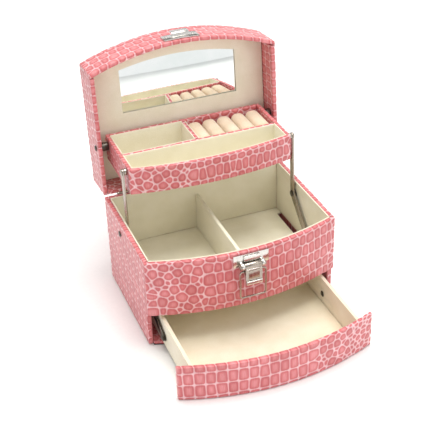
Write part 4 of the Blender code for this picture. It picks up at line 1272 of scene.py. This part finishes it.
@dataclass
class Fastening:
    """Small slotted screws, modelled once and copied to every place."""

    finishes: Finishes
    radius: float = 1.35
    head: float = 0.7
    slot_half: float = 0.2
    columns: tuple[float, ...] = (-66, -33, 0, 33, 66)
    rolls: tuple[float, ...] = (20, -35, 60, 5, -70)
    leaf_inset: float = 3.6
    keeper_reach: float = 12.6

    def one(self) -> bpy.types.Object:
        """Models a round-headed slotted screw that faces along -Y, in millimetres.

        Returns:
            The screw's head.
        """
        bpy.ops.object.select_all(action="DESELECT")
        bpy.ops.mesh.primitive_cylinder_add(vertices=24, radius=self.radius,
                                            depth=self.head,
                                            rotation=(math.radians(90), 0, 0))
        head = bpy.context.active_object
        bpy.ops.object.transform_apply(location=True, rotation=True, scale=True)
        apply_modifier(head, "BEVEL", width=0.35, segments=3, limit_method="ANGLE",
                       angle_limit=math.radians(50))
        slot = block("slot", (-self.slot_half, -self.head, -2.0),
                     (self.slot_half, -self.head * 0.1, 2.0),
                     0.03, 1, COARSE)
        apply_modifier(head, "BOOLEAN", object=slot, operation="DIFFERENCE",
                       solver="EXACT")
        bpy.data.objects.remove(slot)
        return head

    def row(self, name: str, spots: Sequence[Sequence[float]], body: str,
            turn: Matrix = Matrix.Identity(4)) -> None:
        """Copies the screw to its places and dresses it.

        Args:
            name: The name of the joined screws.
            spots: For each, its place in millimetres, its slot's turn about Y and
                then its own turn about Z, both in degrees.
            body: The CAD body that they ride on.
            turn: A last turn, in metres, such as the lid's opening.
        """
        first = self.one()
        made = []
        for x, y, z, roll, face in spots:
            copy = bpy.data.objects.new(name, first.data.copy())
            bpy.context.scene.collection.objects.link(copy)
            copy.data.transform(Matrix.Scale(MM, 4) @ Matrix.Translation((x, y, z))
                                @ Matrix.Rotation(math.radians(face), 4, "Z")
                                @ Matrix.Rotation(math.radians(roll), 4, "Y"))
            made.append(copy)
        bpy.data.objects.remove(first)
        screws = join(name, made)
        screws.data.transform(turn)
        select_only(screws)
        bpy.ops.object.shade_smooth_by_angle(angle=math.radians(35))
        self.finishes.dress(screws, "nickel_plate", body)

    def build(self, lid: Lid) -> None:
        """Builds the screws of the hinge and the keeper.

        Args:
            lid: The lid, for its turn and its front.
        """
        behind = corners("case_hinge_leaf")
        leaf_y = corners("back_wall")[1][1] + 1.0
        self.row("case_hinge_screws", [
            (x, leaf_y, behind[0][2] + self.leaf_inset, roll, 180)
            for x, roll in zip(self.columns, self.rolls)], "case")
        axis_z = sum(corners("hinge_pin")[i][2] for i in (0, 1)) / 2
        self.row("lid_hinge_screws", [
            (x, leaf_y, 2 * axis_z - behind[0][2] - self.leaf_inset, roll, 180)
            for x, roll in zip(self.columns, self.rolls[::-1])], "lid", lid.turn)
        low, high = corners("keeper_plate", lid.turn.inverted())
        reach = self.keeper_reach
        face = lid.case.front_y(np.array([reach]))[0] - 1.2
        self.row("keeper_screws", [
            (x, face, (low[2] + high[2]) / 2 + 1.5, roll, 0)
            for x, roll in ((-reach, 15), (reach, -50))], "lid", lid.turn)


@dataclass
class Latch:
    """The draw latch: plate, bridge, wire eyes, lever and bail, and the keeper."""

    finishes: Finishes
    bridge_half: float = 7.2
    bridge_wall: float = 0.3
    slot_deep: float = 2.6
    eye_reach: float = 10.9
    eye_radius: float = 1.9
    wire_radius: float = 0.6
    knob_radius: float = 1.15
    lever_face: float = 2.9

    def build(self) -> None:
        """Builds and dresses the latch."""
        # The pin, lever and bail take the darker copy of the plate, whose colour is painted
        # reflection.
        plate_with_painted_reflection = self.finishes.plate_with_painted_reflection
        for node, body, finish in (
                ("latch_plate", "case", None), ("latch_pin", "case", plate_with_painted_reflection),
                ("latch_lever", "latch_lever", plate_with_painted_reflection), ("latch_bail", "latch_bail", plate_with_painted_reflection),
                ("keeper_plate", "lid", None)):
            piece = refine(node, node + "_finished", 0.2)
            self.finishes.dress(piece, "nickel_plate", body, finish)
        low, high = corners("latch_pin")
        axis_y, axis_z = (low[1] + high[1]) / 2, (low[2] + high[2]) / 2
        self._bridge(axis_y, axis_z)
        self._eyes(axis_y, axis_z)
        self._lever(axis_y, axis_z)

    def _bridge(self, axis_y: float, axis_z: float) -> None:
        """Builds the pressed bridge above the lever, and a dark block in its slot that paints
        the slot's shade.

        Args:
            axis_y: The pin's place from front to back.
            axis_z: The pin's height.
        """
        half = self.bridge_half
        piece = block("latch_bridge", (-half, axis_y + 0.75, axis_z + 3.4),
                      (half, axis_y + 3.0, axis_z + 9.0), 0.45, 3, COARSE)
        bpy.ops.object.mode_set(mode="EDIT")
        bpy.ops.mesh.select_mode(type="FACE")
        mesh = bmesh.from_edit_mesh(piece.data)
        for face in mesh.faces:
            face.select_set(face.normal.z > 0.99 and face.calc_area() > 2.0)
        bmesh.update_edit_mesh(piece.data)
        bpy.ops.mesh.inset(thickness=self.bridge_wall, depth=0.0)
        bpy.ops.mesh.extrude_region_move(
            TRANSFORM_OT_translate={"value": (0.0, 0.0, -self.slot_deep)})
        bpy.ops.object.mode_set(mode="OBJECT")
        write_points(piece, read_points(piece) * MM)
        select_only(piece)
        bpy.ops.object.shade_smooth_by_angle(angle=math.radians(40))
        self.finishes.dress(piece, "nickel_plate", "case")
        # Painted shade: a dark steel block fills the slot, so that it reads as shaded.
        slot_shade = block("latch_slot_shade", (-half + 0.9, axis_y + 1.5, axis_z + 6.5),
                       (half - 0.9, axis_y + 2.6, axis_z + 8.9), 0.3, 3, COARSE)
        write_points(slot_shade, read_points(slot_shade) * MM)
        self.finishes.dress(slot_shade, "dark_steel", "case")

    def _eyes(self, axis_y: float, axis_z: float) -> None:
        """Builds the wire eyes round the pin's ends, each with the pin's domed end.

        Args:
            axis_y: The pin's place from front to back.
            axis_z: The pin's height.
        """
        parts = []
        for side in (-1, 1):
            x = side * self.eye_reach
            bpy.ops.object.select_all(action="DESELECT")
            bpy.ops.mesh.primitive_torus_add(
                location=(x, axis_y, axis_z), rotation=(0, math.radians(90 - side * 12), 0),
                major_radius=self.eye_radius, minor_radius=self.wire_radius,
                major_segments=28, minor_segments=10)
            eye = bpy.context.active_object
            bpy.ops.object.transform_apply(location=True, rotation=True, scale=True)
            parts.append(eye)
            bpy.ops.object.select_all(action="DESELECT")
            bpy.ops.mesh.primitive_uv_sphere_add(
                segments=18, ring_count=12, radius=self.knob_radius,
                location=(x + side * 0.4, axis_y, axis_z))
            knob = bpy.context.active_object
            bpy.ops.transform.resize(value=(0.7, 1.0, 1.0))
            bpy.ops.object.transform_apply(location=True, rotation=True, scale=True)
            parts.append(knob)
        eyes = join("latch_wire_eyes", parts)
        write_points(eyes, read_points(eyes) * MM)
        select_only(eyes)
        bpy.ops.object.shade_smooth()
        # The eyes take the darker copy of the plate, whose colour is painted reflection.
        self.finishes.dress(eyes, "nickel_plate", "case", self.finishes.plate_with_painted_reflection)

    def _lever(self, axis_y: float, axis_z: float) -> None:
        """Builds the lever's pressed pad, its bead and its rolled lip, the lip brighter than the
        pad by painted highlight.

        Args:
            axis_y: The pin's place from front to back.
            axis_z: The pin's height.
        """
        face = axis_y - self.lever_face
        bottom = corners("latch_lever")[0][2]
        plate_with_painted_reflection = self.finishes.plate_with_painted_reflection
        # Half width, reach out and in from the face, lowest and highest place, rounding.
        # Painted light: the pad takes the darker copy of the plate, and the bead and lip the
        # bright one, so that the lip shows as a highlight.
        for name, half, out, inward, low, high, radius, segments, finish in (
                ("latch_lever_pad", 4.9, 0.5, 0.2, bottom + 4.6, axis_z - 3.4, 0.3, 3,
                 plate_with_painted_reflection),
                ("latch_lever_bead", 6.9, 0.55, 0.2, axis_z - 2.9, axis_z - 1.7, 0.35, 3,
                 None),
                ("latch_lever_lip", 7.3, 1.9, 0.3, bottom - 0.4, bottom + 3.2, 0.8, 4,
                 None)):
            piece = block(name, (-half, face - out, low), (half, face + inward, high),
                          radius, segments, COARSE)
            write_points(piece, read_points(piece) * MM)
            select_only(piece)
            bpy.ops.object.shade_smooth()
            self.finishes.dress(piece, "nickel_plate", "latch_lever", finish)


# ---------------------------------------------------------------- studio

@dataclass
class Studio:
    """Pale floor, soft lights and the camera."""

    lens: float = 81.85

    def build(self) -> None:
        """Builds the studio."""
        scene = bpy.context.scene
        scene.view_settings.view_transform = "Standard"
        world = bpy.data.worlds.new("studio")
        scene.world = world
        world.use_nodes = True
        tree = world.node_tree
        tree.nodes.clear()
        spot = add_node(tree, "TexCoord").outputs["Generated"]
        height = add_node(tree, "SeparateXYZ", links={"Vector": spot}).outputs["Z"]
        # Dark round the horizon, so that the metal has something to mirror.
        dome = add_node(tree, "ValToRGB", links={"Fac": height}, stops=[
            (0.3, "#FFFFFF"), (0.37, "#7E7B77"), (0.48, "#8F8C88"),
            (0.56, "#E4E4E4")]).outputs["Color"]
        sky = add_node(tree, "Background", {"Strength": 0.92}, {"Color": dome})
        add_node(tree, "OutputWorld", links={"Surface": sky.outputs[0]})
        bpy.ops.object.select_all(action="DESELECT")
        bpy.ops.mesh.primitive_plane_add(size=6.0, location=(0, 0, -0.0002))
        floor = bpy.context.active_object
        floor.name = "studio_floor"
        material, tree, shader = new_material("white_paper", roughness=0.8)
        place = add_node(tree, "TexCoord").outputs["Object"]
        # The paper's faint unevenness, 3 mm across.
        tooth = add_node(tree, "TexNoise", {"Scale": 300.0}, {"Vector": place})
        colour = add_node(tree, "ValToRGB", links={"Fac": tooth.outputs["Fac"]}, stops=[
            (0.3, "#FBFBFB"), (0.7, "#FEFEFE")]).outputs["Color"]
        tree.links.new(colour, shader.inputs["Base Color"])
        floor.data.materials.append(material)
        self._light("key", (0.12, 0.02, 1.5), 1.0, 19.0, "#FFFDF8")
        self._light("front", (0.75, -1.1, 0.9), 0.8, 2.3, "#FFFDF8")
        self._camera()

    @staticmethod
    def _light(name: str, spot: tuple[float, float, float], size: float, power: float,
               colour: str) -> None:
        """Adds a square soft light that faces the box.

        Args:
            name: The light's name.
            spot: Its place in metres.
            size: The length of its side in metres.
            power: Its power in watts.
            colour: Its sRGB hex colour.
        """
        data = bpy.data.lights.new(name, "AREA")
        data.size = size
        data.energy = power
        data.color = linear(colour)[:3]
        lamp = bpy.data.objects.new(name, data)
        lamp.location = spot
        aim = Vector((0, 0, 0.09)) - Vector(spot)
        lamp.rotation_mode = "QUATERNION"
        lamp.rotation_quaternion = aim.to_track_quat("-Z", "Y")
        bpy.context.scene.collection.objects.link(lamp)

    def _camera(self) -> None:
        """Adds the camera."""
        data = bpy.data.cameras.new("camera")
        data.sensor_width = 36.0
        data.lens = self.lens
        data.shift_x, data.shift_y = 0.0240, -0.0572
        data.clip_start, data.clip_end = 0.05, 20.0
        camera = bpy.data.objects.new("camera", data)
        right = (0.93091, -0.36383, -0.03207)
        up = (0.21284, 0.46903, 0.85715)
        back = (-0.29681, -0.80476, 0.51407)
        grid = Matrix((right, up, back)).transposed().to_4x4()
        grid.translation = Vector((-0.26730, -0.70658, 0.55907))
        camera.matrix_world = grid
        bpy.context.scene.collection.objects.link(camera)
        bpy.context.scene.camera = camera


def main() -> None:
    """Builds the box in order."""
    logging.basicConfig(level=logging.INFO, format="%(message)s")
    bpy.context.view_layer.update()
    Studio().build()
    finishes = Finishes()
    case = Case(finishes)
    case.build()
    lid = Lid(finishes, case)
    lid.build()
    Tray(finishes).build()
    Drawer(finishes, case).build()
    Linkage(finishes, lid).build()
    Latch(finishes).build()
    Fastening(finishes).build(lid)


if __name__ == "__main__":
    main()
